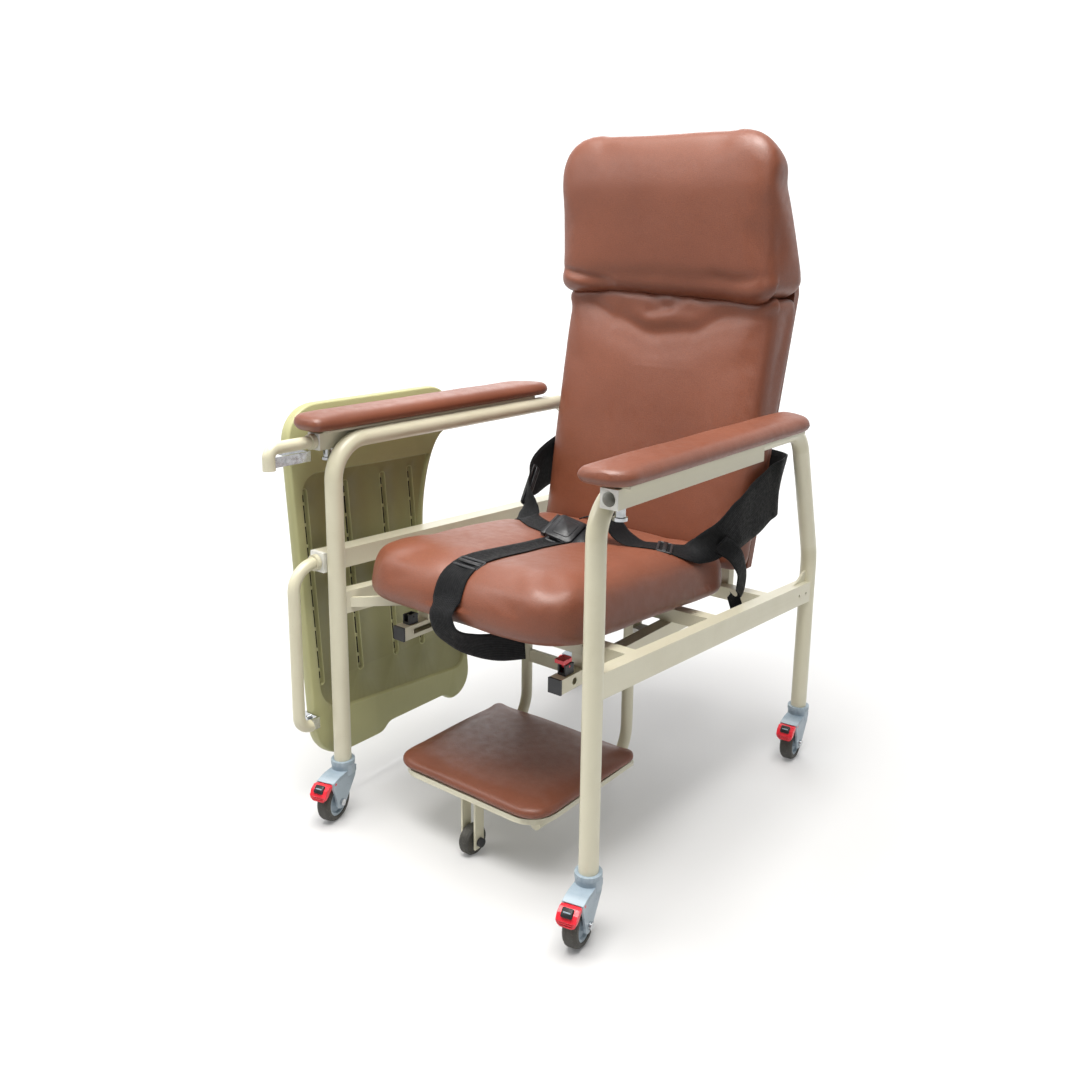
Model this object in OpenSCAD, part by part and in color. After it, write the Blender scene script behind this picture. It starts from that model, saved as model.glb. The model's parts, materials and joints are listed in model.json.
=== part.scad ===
// Geriatric day chair on braked castors, with a stowed side tray and a slide-out footrest.
// Millimetres, +Z up, -Y is the front of the chair, +X is the sitter's left.

/* [Side frames] */
// Distance between the left and right leg axes
leg_spacing = 570; // [540:1:600]
// Distance from the front leg axis to the rear leg axis
wheelbase = 758; // [740:1:780]
// Outer diameter of the side frame tube
tube_d = 32; // [30:0.5:34]
// Wall of the side frame tube
tube_wall = 2; // [1.5:0.1:2.5]
// Height of the arm tube's axis above the floor
arm_z = 709; // [700:1:720]
// Height of the open end of each leg above the floor
leg_end_z = 106; // [104:0.5:110]
// Bend radius between the front leg and the arm
front_bend_r = 70; // [60:1:80]
// Bend radius between the arm and the rear leg
rear_bend_r = 60; // [50:1:70]
// Backward slant of the rear leg's upper part, degrees
rear_slant = 18; // [16:0.5:20]

/* [Seat] */
// Width of the seat cushion
seat_w = 470; // [460:1:490]
// Depth of the seat cushion
seat_depth = 540; // [500:1:542]
// Thickness of the seat cushion
seat_t = 90; // [80:1:95]
// Backward tilt of the seat, degrees
seat_tilt = 4.5; // [4:0.1:5]

/* [Back] */
// Width of the back and head cushions
back_w = 490; // [460:1:500]
// Height of the top of the head cushion above the floor
back_top_z = 1262; // [1230:1:1300]

/* [Arm pads] */
// Length of an arm pad
pad_len = 650; // [600:1:660]
// Width of an arm pad
pad_w = 88; // [80:1:92]
// Thickness of an arm pad's cushion
pad_t = 26; // [22:1:32]

/* [Tray] */
// Length of the tray, which stands upright when it is stowed
tray_len = 678; // [650:1:690]
// Width of the tray
tray_w = 424; // [400:1:430]
// Depth of the tray's rim
tray_t = 26; // [22:1:30]
// Outer diameter of the tray's tubes
tray_tube_d = 22; // [20:0.5:24]
// Radius of the bore in each arm socket
socket_bore_r = 11.2; // [11.1:0.05:11.3]

/* [Footrest] */
// Width of the footboard
board_w = 344; // [300:1:350]
// Depth of the footboard
board_depth = 299; // [290:1:306]
// Height of the footboard's upper face above the floor
board_top_z = 147; // [145:1:150]

/* [Castors] */
// Diameter of a castor wheel over the tyre
wheel_d = 75; // [70:1:76]
// Width of a castor tyre
tyre_w = 25; // [20:1:26]
// Distance from the swivel axis to the wheel axle, seen from above
caster_trail = 34; // [30:1:36]

/* [Hidden] */
$fn = 64;

// Colours
cream = "#d8d4ba";
vinyl = "#a5694f";
khaki = "#96946a";
steel_grey = "#8c9baa";
pedal_red = "#dc2d46";
webbing = "#23262a";
tyre_black = "#3a3a36";
chrome = "#c8ccd0";

// The origin is on the floor at the middle of the whole chair with its stowed tray, so
// the chair's own middle plane and its front legs lie at these places
mid_x = 25.14;
front_leg_y = -328.5;

tube_r = tube_d / 2;
leg_x = leg_spacing / 2;
gap = 0.3;

// Side frame: rear bends
kink_r = 150;
kink_z = 417;
kink_top = [
    wheelbase - kink_r * (1 - cos(rear_slant)),
    kink_z + kink_r * sin(rear_slant)
];
slant_top_z = arm_z - rear_bend_r * (1 - sin(rear_slant));
slant_len = (slant_top_z - kink_top[1]) / cos(rear_slant);
slant_top_y = kink_top[0] - slant_len * sin(rear_slant);
rear_bend_y = slant_top_y - rear_bend_r * cos(rear_slant);

// Side rails
rail_w = 25;
rail_h = 42;
rail_top_z = 435;
rail_slope = 3.8;
function rail_top(y) = rail_top_z - y * tan(rail_slope);

// Cross beams, at their middle
beam = 25;
front_beam_y = 121;
front_beam_top = 426;
mid_beam_y = 392;
mid_beam_top = 404.9;
rear_beam_y = 592;
rear_beam_top = 394;
beam_half_len = leg_x - rail_w / 2;

// Arm sockets and storage tube
socket_size = 30;
socket_wall = 2;
socket_x = leg_x + tube_r + socket_size / 2;
socket_front_y = -16;
socket_len = 447;
bush_len = 60;
plunger_y = 14;
plunger_r = 4;
storage_size = 36;
storage_x = leg_x + tube_r + storage_size / 2;
storage_z = 487;
storage_slope = 2.2;
storage_len = 770;

// Seat
board_t = 12;
seat_plane_z = 437.3;
seat_front_y = -18;

// Back, side view: front and rear lines of the lower part and of the head part
back_bottom_z = 432;
crease_z = 968;

// Arm pads
pad_base_t = 4;
pad_front_y = -46;
pad_x = 315;
pad_base_z = arm_z + tube_r + 0.3;

// Footrest slides
slide_x = 177;
slide_z = 366;
slide_size = 25;
slide_wall = 1.5;
slide_front_y = 50;
slide_len = 400;
slot_h = 10;
foot_tube_r = 11;
foot_tube_x = 122;
foot_tube_y = 344;
foot_bend_r = 80;
foot_tube_z = 90;
foot_deck_z = 115;
foot_base_t = 10;
board_front_y = 14;
support_y = 46;
support_r = 27;

// Tray
tray_mid = [-355, 188, 426];
tray_roll = 4.8;
tray_tube_r = tray_tube_d / 2;
plug_tip_y = -112;
swing_y = -70;
clamp_z = 178;

// Castors
wheel_r = wheel_d / 2;
hub_r = 27;
axle_r = 4;
cheek_in = 14;
cheek_out = 18;
stem_r = tube_r - tube_wall;
collar_h = 8;
pedal_pivot = [-50, 80];
// place: swivel axis and the swivel angle at rest
caster_fl = [leg_x, 0, 12];
caster_fr = [-leg_x, 0, 15];
caster_rl = [leg_x, wheelbase, 6];
caster_rr = [-leg_x, wheelbase, 0];
casters = [caster_fl, caster_fr, caster_rl, caster_rr];

// ---------- helpers ----------

// Moves from chair coordinates (middle plane, front leg axes, floor) to the origin
module chair() {
    translate([mid_x, front_leg_y, 0]) children();
}

// Left and right copies
module both_sides() {
    children();
    mirror([1, 0, 0]) children();
}

// Extrudes a (y, z) outline along X from x0 to x1
module yz_plate(x0, x1) {
    translate([x0, 0, 0]) rotate([90, 0, 90]) linear_extrude(x1 - x0) children();
}

// Arc of a tube in the YZ plane, centre [y, z], from angle a0 to a1
module yz_bend(x, centre, bend_r, r, a0, a1) {
    translate([x, centre[0], centre[1]]) rotate([90, 0, 90])
        rotate([0, 0, a0]) rotate_extrude(angle = a1 - a0) translate([bend_r, 0]) circle(r);
}

// Straight round bar between two (y, z) points in the plane at x
module yz_bar(x, a, b, r) {
    d = b - a;
    translate([x, a[0], a[1]]) rotate([-atan2(d[0], d[1]), 0, 0]) cylinder(r = r, h = norm(d));
}

module x_cylinder(x0, x1, y, z, r) {
    translate([x0, y, z]) rotate([0, 90, 0]) cylinder(r = r, h = x1 - x0);
}

module y_cylinder(x, y0, y1, z, r) {
    translate([x, y0, z]) rotate([-90, 0, 0]) cylinder(r = r, h = y1 - y0);
}

// Block given by its low and high corners
module block(low, high) {
    translate(low) cube(high - low);
}

// Round disc with soft upper and lower edges, used as the corner of a pad
module soft_disc(r, t, edge) {
    rotate_extrude($fn = 32) intersection() {
        union() {
            translate([0, edge]) square([r, t - 2 * edge]);
            square([r - edge, t]);
            translate([r - edge, edge]) circle(edge, $fn = 24);
            translate([r - edge, t - edge]) circle(edge, $fn = 24);
        }
        square([r, t]);
    }
}

// Pad with rounded corners of radius front_r and rear_r and soft edges
module pad(w, depth, t, front_r, rear_r, edge) {
    hull() {
        for (s = [-1, 1]) {
            translate([s * (w / 2 - front_r), front_r, 0]) soft_disc(front_r, t, edge);
            translate([s * (w / 2 - rear_r), depth - rear_r, 0]) soft_disc(rear_r, t, edge);
        }
    }
}

// Flat strap along stations [point, direction across the strap, width]
function unit(v) = v / norm(v);
function tangent(st, i) =
    unit(st[min(i + 1, len(st) - 1)][0] - st[max(i - 1, 0)][0]);
function strap_ring(st, i, t) =
    let (p = st[i][0], a = unit(st[i][1]) * st[i][2] / 2, n = unit(cross(tangent(st, i), st[i][1])) * t / 2)
    [p - a - n, p + a - n, p + a + n, p - a + n];
module strap(st, t) {
    n = len(st);
    points = [for (i = [0 : n - 1]) each strap_ring(st, i, t)];
    sides = [for (i = [0 : n - 2]) for (k = [0 : 3])
        let (a = 4 * i + k, b = 4 * i + (k + 1) % 4)
        each [[a, b, b + 4], [a, b + 4, a + 4]]];
    last = 4 * (n - 1);
    ends = [[2, 1, 0], [3, 2, 0], [last, last + 1, last + 2], [last, last + 2, last + 3]];
    polyhedron(points, concat(sides, ends), 2);
}

// ---------- side frames and beams ----------

module frame_path(r, extra) {
    yz_bar(leg_x, [0, leg_end_z - extra], [0, arm_z - front_bend_r], r);
    yz_bend(leg_x, [front_bend_r, arm_z - front_bend_r], front_bend_r, r, 90, 180);
    yz_bar(leg_x, [front_bend_r, arm_z], [rear_bend_y, arm_z], r);
    yz_bend(leg_x, [rear_bend_y, arm_z - rear_bend_r], rear_bend_r, r, rear_slant, 90);
    yz_bar(leg_x, [slant_top_y, slant_top_z], kink_top, r);
    yz_bend(leg_x, [wheelbase - kink_r, kink_z], kink_r, r, 0, rear_slant);
    yz_bar(leg_x, [wheelbase, kink_z], [wheelbase, leg_end_z - extra], r);
}

module side_frame() {
    color(cream) difference() {
        frame_path(tube_r, 0);
        frame_path(stem_r, 1);
    }
}

module side_frame_left() {
    chair() side_frame();
}

module side_frame_right() {
    chair() mirror([1, 0, 0]) side_frame();
}

// Rail, notched round both legs, with a curved gusset ahead of the rear leg
module side_rail() {
    gusset_r = 90;
    gusset_y = wheelbase - 84;
    difference() {
        union() {
            yz_plate(leg_x - rail_w / 2, leg_x + rail_w / 2) polygon([
                [0, rail_top(0)], [wheelbase, rail_top(wheelbase)],
                [wheelbase, rail_top(wheelbase) - rail_h], [0, rail_top(0) - rail_h]]);
            yz_plate(leg_x - 2, leg_x + 2) difference() {
                polygon([
                    [gusset_y, rail_top(gusset_y)], [gusset_y, rail_top(gusset_y) - 8],
                    [wheelbase, rail_top(wheelbase) - 8], [wheelbase, rail_top(wheelbase) + 28]]);
                translate([gusset_y + 4, rail_top(gusset_y) + gusset_r - 1]) circle(gusset_r);
            }
        }
        for (y = [0, wheelbase])
            translate([leg_x, y, 0]) cylinder(r = tube_r, h = rail_top_z + 10);
        for (y = [wheelbase - 30, wheelbase - 62])
            x_cylinder(leg_x, leg_x + rail_w, y, rail_top(y) - rail_h / 2, 3);
    }
}

module side_rails() {
    color(cream) chair() both_sides() side_rail();
}

module cross_bar(y, top_z) {
    block([-beam_half_len, y - beam / 2, top_z - beam], [beam_half_len, y + beam / 2, top_z]);
}

// Flat bar from the front end of a rail back to the front cross beam
module corner_brace() {
    brace_w = 6;
    brace_x = 190;
    translate([0, 0, 402]) linear_extrude(18) polygon([
        [beam_half_len, 20], [beam_half_len, 20 + brace_w * 1.5],
        [brace_x + brace_w, front_beam_y - beam / 2], [brace_x - brace_w, front_beam_y - beam / 2]]);
}

module front_cross_beam() {
    color(cream) chair() {
        cross_bar(front_beam_y, front_beam_top);
        both_sides() corner_brace();
    }
}

module rear_cross_beams() {
    color(cream) chair() {
        cross_bar(mid_beam_y, mid_beam_top);
        cross_bar(rear_beam_y, rear_beam_top);
    }
}

// ---------- sockets for the tray tubes ----------

module square_tube(size, wall, length) {
    difference() {
        translate([-size / 2, 0, -size / 2]) cube([size, length, size]);
        translate([-size / 2 + wall, -1, -size / 2 + wall])
            cube([size - 2 * wall, length + 2, size - 2 * wall]);
    }
}

module arm_socket() {
    difference() {
        translate([socket_x, socket_front_y + 2, arm_z])
            square_tube(socket_size, socket_wall, socket_len - 2);
        translate([socket_x, plunger_y, arm_z - socket_size]) cylinder(r = 5, h = socket_size);
    }
}

module arm_sockets() {
    color(cream) chair() both_sides() arm_socket();
}

module storage_tube() {
    color(cream) chair() translate([-storage_x, 0, storage_z]) rotate([-storage_slope, 0, 0])
        translate([0, socket_front_y + 8, 0]) square_tube(storage_size, 2, storage_len);
}

module socket_bush() {
    core = socket_size - 2 * socket_wall;
    difference() {
        union() {
            block([socket_x - core / 2, socket_front_y, arm_z - core / 2],
                [socket_x + core / 2, socket_front_y + bush_len, arm_z + core / 2]);
            block([socket_x - socket_size / 2, socket_front_y, arm_z - socket_size / 2],
                [socket_x + socket_size / 2, socket_front_y + 2, arm_z + socket_size / 2]);
        }
        y_cylinder(socket_x, socket_front_y - 1, socket_front_y + bush_len + 1, arm_z, socket_bore_r);
        translate([socket_x, plunger_y, arm_z - socket_size])
            cylinder(r = plunger_r + 0.3, h = socket_size);
    }
}

module storage_bush() {
    core = storage_size - 4;
    difference() {
        translate([-storage_x, 0, storage_z]) rotate([-storage_slope, 0, 0]) union() {
            translate([-core / 2, socket_front_y, -core / 2]) cube([core, bush_len, core]);
            translate([-storage_size / 2, socket_front_y, -storage_size / 2])
                cube([storage_size, 8, storage_size]);
        }
        y_cylinder(-storage_x, socket_front_y - 10, socket_front_y + bush_len + 10,
            storage_z, socket_bore_r + 0.3);
    }
}

module socket_bushes() {
    color("white") chair() {
        both_sides() socket_bush();
        storage_bush();
    }
}

// Spring plunger below an arm socket: housing, and pin with its pull ring
plunger_top = arm_z - socket_bore_r - 0.4;
housing_top = arm_z - socket_size / 2;
housing_h = 16;

module plunger_housings() {
    color(chrome) chair() both_sides() difference() {
        translate([socket_x, plunger_y, housing_top - housing_h]) union() {
            cylinder(r = 8, h = housing_h);
            translate([0, 0, housing_h - 3]) cylinder(r = 10, h = 3, $fn = 6);
        }
        translate([socket_x, plunger_y, housing_top - housing_h - 1])
            cylinder(r = plunger_r + 0.05, h = housing_h + 2);
    }
}

module plunger_pin(side) {
    knob_top = housing_top - housing_h - 0.5;
    color(chrome) chair() translate([side * socket_x, plunger_y, 0]) union() {
        translate([0, 0, knob_top - 1]) cylinder(r = plunger_r, h = plunger_top - knob_top + 1);
        translate([0, 0, knob_top - 5]) cylinder(r = 11, h = 5);
    }
}

module plunger_pin_left() {
    plunger_pin(1);
}

module plunger_pin_right() {
    plunger_pin(-1);
}

// ---------- seat ----------

module on_seat_plane() {
    translate([0, 0, seat_plane_z]) rotate([-seat_tilt, 0, 0]) children();
}

module seat_base() {
    color("#26282b") chair() on_seat_plane()
        block([62 - seat_w / 2, seat_front_y + 88, 0], [seat_w / 2 - 62, seat_front_y + seat_depth - 30, board_t]);
}

module seat_cushion() {
    color(vinyl) chair() on_seat_plane()
        translate([0, seat_front_y, board_t + gap]) pad(seat_w, seat_depth, seat_t, 88, 45, 40);
}

// ---------- back ----------

// Side view of the board: two straight parts that meet behind the crease
board_low = [604, back_bottom_z + 8];
board_bend = [744, crease_z - 4];
board_high = [706, back_top_z - 76];
back_t = 18;

module back_board() {
    half_w = back_w / 2 - 12;
    color(vinyl) chair() intersection() {
        yz_plate(-half_w, half_w) polygon([
            board_low, board_bend, board_high, board_high - [back_t, 2],
            board_bend - [back_t + 2, 2], board_low - [back_t, 0]]);
        translate([0, 800, 0]) rotate([90, 0, 0]) linear_extrude(300) polygon([
            [-half_w, 400], [half_w, 400], [half_w, crease_z + 30], [half_w - 50, board_high[1] - 12],
            [half_w - 70, board_high[1] + 1], [70 - half_w, board_high[1] + 1],
            [50 - half_w, board_high[1] - 12], [-half_w, crease_z + 30]]);
    }
}

// Post from the rear cross beam up the rear face of the back board
post_x = 170;
post_w = 30;
post_t = 20;
module back_post() {
    along = unit(board_bend - board_low);
    low = board_low + [gap + 0.1, 0] + along * 4;
    high = low + along * 330;
    foot_y = rear_beam_y + beam / 2;
    yz_plate(post_x - post_w / 2, post_x + post_w / 2) polygon([
        low, high, high + [post_t, 0], low + [post_t, 0],
        [foot_y + post_t, rear_beam_top - beam], [foot_y, rear_beam_top - beam],
        [foot_y, rear_beam_top]]);
}

module back_frame() {
    color(cream) chair() both_sides() back_post();
}

// Rounded prism across the chair through four (y, z) corners
module back_prism(corners, w, r) {
    hull() for (c = corners) {
        for (s = [-1, 1]) translate([s * (w / 2 - r), c[0], c[1]]) sphere(r, $fn = 32);
    }
}

module back_cushion() {
    r = 24;
    color(vinyl) chair() back_prism([
        [550, back_bottom_z + r + 4], [556, back_bottom_z + r],
        [634, crease_z - r - 6], [691.6, crease_z - r - 6]], back_w, r);
}

module head_cushion() {
    r = 28;
    // (half width, y, z) of the ball centres, front face then rear face
    balls = [
        [217, 618, crease_z + r], [217, 607, 1165], [196, 612, 1208], [150, 618, back_top_z - r],
        [217, 686, crease_z + r], [205, 652, 1180], [150, 642, 1225]];
    color(vinyl) chair() hull() for (s = [-1, 1]) {
        for (b = balls) translate([s * b[0], b[1], b[2]]) sphere(r, $fn = 32);
    }
}

// ---------- arm pads ----------

module arm_pad() {
    edge = 11;
    z = pad_base_z + pad_base_t + gap;
    inner = pad_x - pad_w / 2;
    outer = pad_x + pad_w / 2;
    rear = pad_front_y + pad_len;
    hull() {
        translate([inner + 20, pad_front_y + 20, z]) soft_disc(20, pad_t, edge);
        translate([outer - 42, pad_front_y + 42, z]) soft_disc(42, pad_t, edge);
        translate([inner + 20, rear - 20, z]) soft_disc(20, pad_t, edge);
        translate([outer - 42, rear - 60, z]) soft_disc(42, pad_t, edge);
    }
}

module arm_pad_left() {
    color(vinyl) chair() arm_pad();
}

module arm_pad_right() {
    color(vinyl) chair() mirror([1, 0, 0]) arm_pad();
}

module arm_pad_bases() {
    margin = 14;
    color(cream) chair() both_sides() block(
        [pad_x - pad_w / 2 + margin, pad_front_y + 40, pad_base_z],
        [pad_x + pad_w / 2 - margin, pad_front_y + pad_len - 40, pad_base_z + pad_base_t]);
}

// ---------- footrest ----------

slot_low = [slide_front_y + 22, slide_z - slot_h / 2];
slot_len = slide_len - 50;
slider_y = foot_tube_y;

module slide_rail() {
    inner_x = slide_x - slide_size / 2;
    difference() {
        union() {
            translate([slide_x, slide_front_y, slide_z]) square_tube(slide_size, slide_wall, slide_len);
            block([inner_x, front_beam_y - beam / 2, slide_z + slide_size / 2],
                [inner_x + slide_size, front_beam_y + beam / 2, front_beam_top - beam]);
            block([inner_x, mid_beam_y - beam / 2, slide_z + slide_size / 2],
                [inner_x + slide_size, mid_beam_y + beam / 2, mid_beam_top - beam]);
        }
        block([inner_x - 1, slot_low[0], slot_low[1]],
            [inner_x + slide_wall + 1, slot_low[0] + slot_len, slot_low[1] + slot_h]);
        x_cylinder(slide_x, slide_x + slide_size, slide_front_y + 34, slide_z, 6);
    }
}

module slide_rails() {
    color(cream) chair() both_sides() slide_rail();
}

module rail_end_caps() {
    cap = slide_size + 0.6;
    plug = slide_size - 2 * slide_wall;
    color(webbing) chair() both_sides() translate([slide_x, slide_front_y, slide_z]) union() {
        translate([-cap / 2, -4, -cap / 2]) cube([cap, 4, cap]);
        translate([-plug / 2, 0, -plug / 2]) cube([plug, 12, plug]);
    }
}

// Nylon block inside each slide rail, with a neck through the slot
module footrest_sliders() {
    size = slide_size - 2 * slide_wall - 0.8;
    neck = slot_h - 0.8;
    neck_x = foot_tube_x + foot_tube_r + 6;
    color("white") chair() both_sides() union() {
        translate([slide_x - size / 2, slider_y - 35, slide_z - size / 2]) cube([size, 70, size]);
        block([neck_x, slider_y - 15, slide_z - neck / 2],
            [slide_x, slider_y + 15, slide_z + neck / 2]);
    }
}

module footrest_leg() {
    top_z = slide_z + 14;
    yz_bar(foot_tube_x, [foot_tube_y, foot_tube_z + foot_bend_r], [foot_tube_y, top_z], foot_tube_r);
    yz_bend(foot_tube_x, [foot_tube_y - foot_bend_r, foot_tube_z + foot_bend_r], foot_bend_r,
        foot_tube_r, -90, 0);
    yz_bar(foot_tube_x, [70, foot_tube_z], [foot_tube_y - foot_bend_r, foot_tube_z], foot_tube_r);
}

module footrest_frame() {
    neck_x = foot_tube_x + foot_tube_r + 6;
    color(cream) chair() union() {
        both_sides() {
            footrest_leg();
            block([foot_tube_x, foot_tube_y - 15, slide_z - 12], [neck_x, foot_tube_y + 15, slide_z + 12]);
        }
        block([-foot_tube_x, foot_tube_y - 4, 234], [foot_tube_x, foot_tube_y + 4, 259]);
        for (y = [94, 236])
            block([-foot_tube_x, y - 10, foot_tube_z + foot_tube_r - 5], [foot_tube_x, y + 10, foot_deck_z]);
    }
}

module footboard_base() {
    margin = 7;
    color(cream) chair() translate([0, board_front_y + margin, foot_deck_z])
        linear_extrude(foot_base_t) polygon(concat(
            [for (a = [0 : 15 : 90]) [board_w / 2 - margin - 52 * (1 - cos(a)),
                52 * (1 - sin(a))]],
            [for (a = [90 : -15 : 0]) [-board_w / 2 + margin + 52 * (1 - cos(a)),
                52 * (1 - sin(a))]],
            [[-board_w / 2 + margin, board_depth - 2 * margin],
             [board_w / 2 - margin, board_depth - 2 * margin]]));
}

module footboard_pad() {
    low_z = foot_deck_z + foot_base_t + gap;
    color(vinyl) chair() translate([0, board_front_y, low_z])
        pad(board_w, board_depth, board_top_z - low_z, 48, 18, 10);
}

// Two flat bars below the footboard that hold the support wheel
module footrest_fork() {
    color(cream) chair() union() {
        both_sides() difference() {
            block([13, support_y - 11, support_r - 12], [17, support_y + 11, foot_deck_z]);
            x_cylinder(12, 18, support_y, support_r, axle_r);
        }
        block([-17, support_y - 11, foot_deck_z - 4], [17, support_y + 11, foot_deck_z]);
    }
}

module support_wheel() {
    color(tyre_black) chair() translate([-10, support_y, support_r]) rotate([0, 90, 0])
        rotate_extrude() polygon([
            [axle_r + 0.05, -1.5], [8, -1.5], [8, 1], [support_r - 3, 0], [support_r, 4],
            [support_r, 16], [support_r - 3, 20], [8, 19], [8, 21.5], [axle_r + 0.05, 21.5]]);
}

module support_wheel_bolt() {
    color(tyre_black) chair() union() {
        x_cylinder(-22, 24, support_y, support_r, axle_r);
        x_cylinder(17, 24, support_y, support_r, 8);
        x_cylinder(-22, -17, support_y, support_r, 7);
    }
}

// Footrest latch on the left slide rail, with a plain stop block on the right one
latch_y = 76;
latch_base_z = slide_z + slide_size / 2;
latch_pivot_z = latch_base_z + 14;

module latch_bases() {
    color(webbing) chair() both_sides() difference() {
        block([slide_x - 8, latch_y - 11, latch_base_z], [slide_x + 8, latch_y + 11, latch_base_z + 18]);
        block([slide_x - 5, latch_y - 12, latch_base_z + 5], [slide_x + 5, latch_y + 8, latch_base_z + 19]);
        x_cylinder(slide_x - 9, slide_x + 9, latch_y, latch_pivot_z, 2.05);
    }
}

module latch_lever() {
    color(pedal_red) chair() translate([slide_x, latch_y, latch_pivot_z]) union() {
        x_cylinder(-7.8, 7.8, 0, 0, 2);
        x_cylinder(-4.6, 4.6, 0, 0, 4.6);
        block([-4.6, -4.6, 0], [4.6, 4, 9]);
        block([-9, -18, 8.2], [9, 4, 14.5]);
    }
}

// ---------- tray ----------

// Outline in the tray's own plane: u towards the back, v up
tray_half = tray_len / 2;
tray_front_u = -tray_w / 2;
tray_rear_u = tray_w / 2;
cut_depth = 106;
cut_half = 231;
cut_mid = 19;
function arc_points(cu, cv, r, a0, a1, n) =
    [for (i = [0 : n]) let (a = a0 + (a1 - a0) * i / n) [cu + r * cos(a), cv + r * sin(a)]];
function cut_u(v) = tray_rear_u - cut_depth * pow(cos(90 * v / cut_half), 0.45);
// The lower edge has a shallow notch for the fingers
notch = [-46, -30, 134, 150];
notch_depth = 16;
function tray_outline() = concat(
    arc_points(tray_front_u + 70, tray_half - 70, 70, 90, 180, 8),
    arc_points(tray_front_u + 70, -tray_half + 70, 70, 180, 270, 8),
    [[notch[0], -tray_half], [notch[1], notch_depth - tray_half],
     [notch[2], notch_depth - tray_half], [notch[3], -tray_half]],
    arc_points(tray_rear_u - 55, -tray_half + 55, 55, 270, 360, 7),
    [for (i = [0 : 20]) let (v = cut_half * (i / 10 - 1)) [cut_u(v), cut_mid + v]],
    arc_points(tray_rear_u - 55, tray_half - 55, 55, 0, 90, 7));

// The recess in the underside leaves a wide rim above and below and a thin lip at the rear
recess_top = 212;
recess_low = -252;
recess_lip = 8;
function recess_outline() = concat(
    arc_points(tray_front_u + 60, recess_top - 40, 40, 90, 180, 7),
    arc_points(tray_front_u + 80, recess_low + 60, 60, 180, 270, 7),
    arc_points(tray_rear_u - 42, recess_low + 6, 30, 270, 360, 5),
    [for (i = [1 : 18]) let (v = cut_half * (i / 10 - 1))
        [cut_u(v) - recess_lip, min(cut_mid + v, recess_top)]]);

// Drainage grooves along the recess
groove_w = 14;
groove_len = 364;
groove_mid = -4;
groove_u = [-182, -85, 10, 87];

// Flat of the tray's underside: x towards the back, y up, z away from the chair
module on_tray_plane() {
    translate(tray_mid) rotate([0, -tray_roll, 0]) rotate([90, 0, -90]) mirror([1, 0, 0]) children();
}
function tray_inner_x(z) = tray_mid[0] - (z - tray_mid[2]) * tan(tray_roll);

module tray_panel() {
    color(khaki) chair() on_tray_plane() difference() {
        linear_extrude(tray_t) polygon(tray_outline());
        translate([0, 0, -1]) linear_extrude(8) polygon(recess_outline());
        for (u = groove_u)
            translate([u, groove_mid - groove_len / 2, 6]) linear_extrude(8) union() {
                translate([-groove_w / 2, 0]) square([groove_w, groove_len]);
                circle(groove_w / 2);
                translate([0, groove_len]) circle(groove_w / 2);
            }
    }
}

// Upper tube: plugs into the right arm socket, runs forward and turns down
module tray_plug_tube() {
    bend = 16;
    color(cream) chair() union() {
        y_cylinder(-socket_x, plug_tip_y + bend, socket_front_y + 80, arm_z, tray_tube_r);
        yz_bend(-socket_x, [plug_tip_y + bend, arm_z - bend], bend, tray_tube_r, 90, 180);
        yz_bar(-socket_x, [plug_tip_y, arm_z - 37], [plug_tip_y, arm_z - bend], tray_tube_r);
        y_cylinder(-socket_x, socket_front_y - 10, socket_front_y - 0.5, arm_z, 14);
    }
}

// Lower arm: plugs into the storage tube, hangs down in front of the tray
module tray_swing_arm() {
    bend = 45;
    low_bend = 26;
    color(cream) chair() union() {
        y_cylinder(-storage_x, swing_y + bend, socket_front_y + 90, storage_z, tray_tube_r);
        yz_bend(-storage_x, [swing_y + bend, storage_z - bend], bend, tray_tube_r, 90, 180);
        yz_bar(-storage_x, [swing_y, clamp_z + low_bend], [swing_y, storage_z - bend], tray_tube_r);
        yz_bend(-storage_x, [swing_y + low_bend, clamp_z + low_bend], low_bend, tray_tube_r, 180, 270);
        y_cylinder(-storage_x, socket_front_y - 9, socket_front_y - 1, storage_z, 15);
    }
}

// Angle bracket and bolt between a tube's end and the front face of the tray's rim
module tray_bracket(z, tube_x, tube_y, half_h) {
    plate = 4;
    inner_x = tray_inner_x(z - half_h);
    rim_y = tray_mid[1] + tray_front_u - gap;
    union() {
        block([tube_x - plate / 2, tube_y, z - half_h], [tube_x + plate / 2, rim_y, z + half_h]);
        block([inner_x - tray_t + 2, rim_y - plate, z - half_h], [tube_x + plate / 2, rim_y, z + half_h]);
        y_cylinder(inner_x - tray_t / 2, rim_y - plate - 6, rim_y - plate, z, 6);
    }
}

module tray_clamps() {
    color(chrome) chair() {
        tray_bracket(arm_z - 25, -socket_x, plug_tip_y + tray_tube_r, 9);
        tray_bracket(clamp_z, -storage_x, swing_y + 26, 11);
    }
}

// ---------- belt ----------

belt_w = 50;
band_w = 96;
belt_t = 3;
function seat_top(y) =
    seat_plane_z + (board_t + gap + seat_t) / cos(seat_tilt) - y * tan(seat_tilt) + belt_t / 2 + 1.6;
function on_seat(x, y) = [x, y, seat_top(y)];

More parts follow.
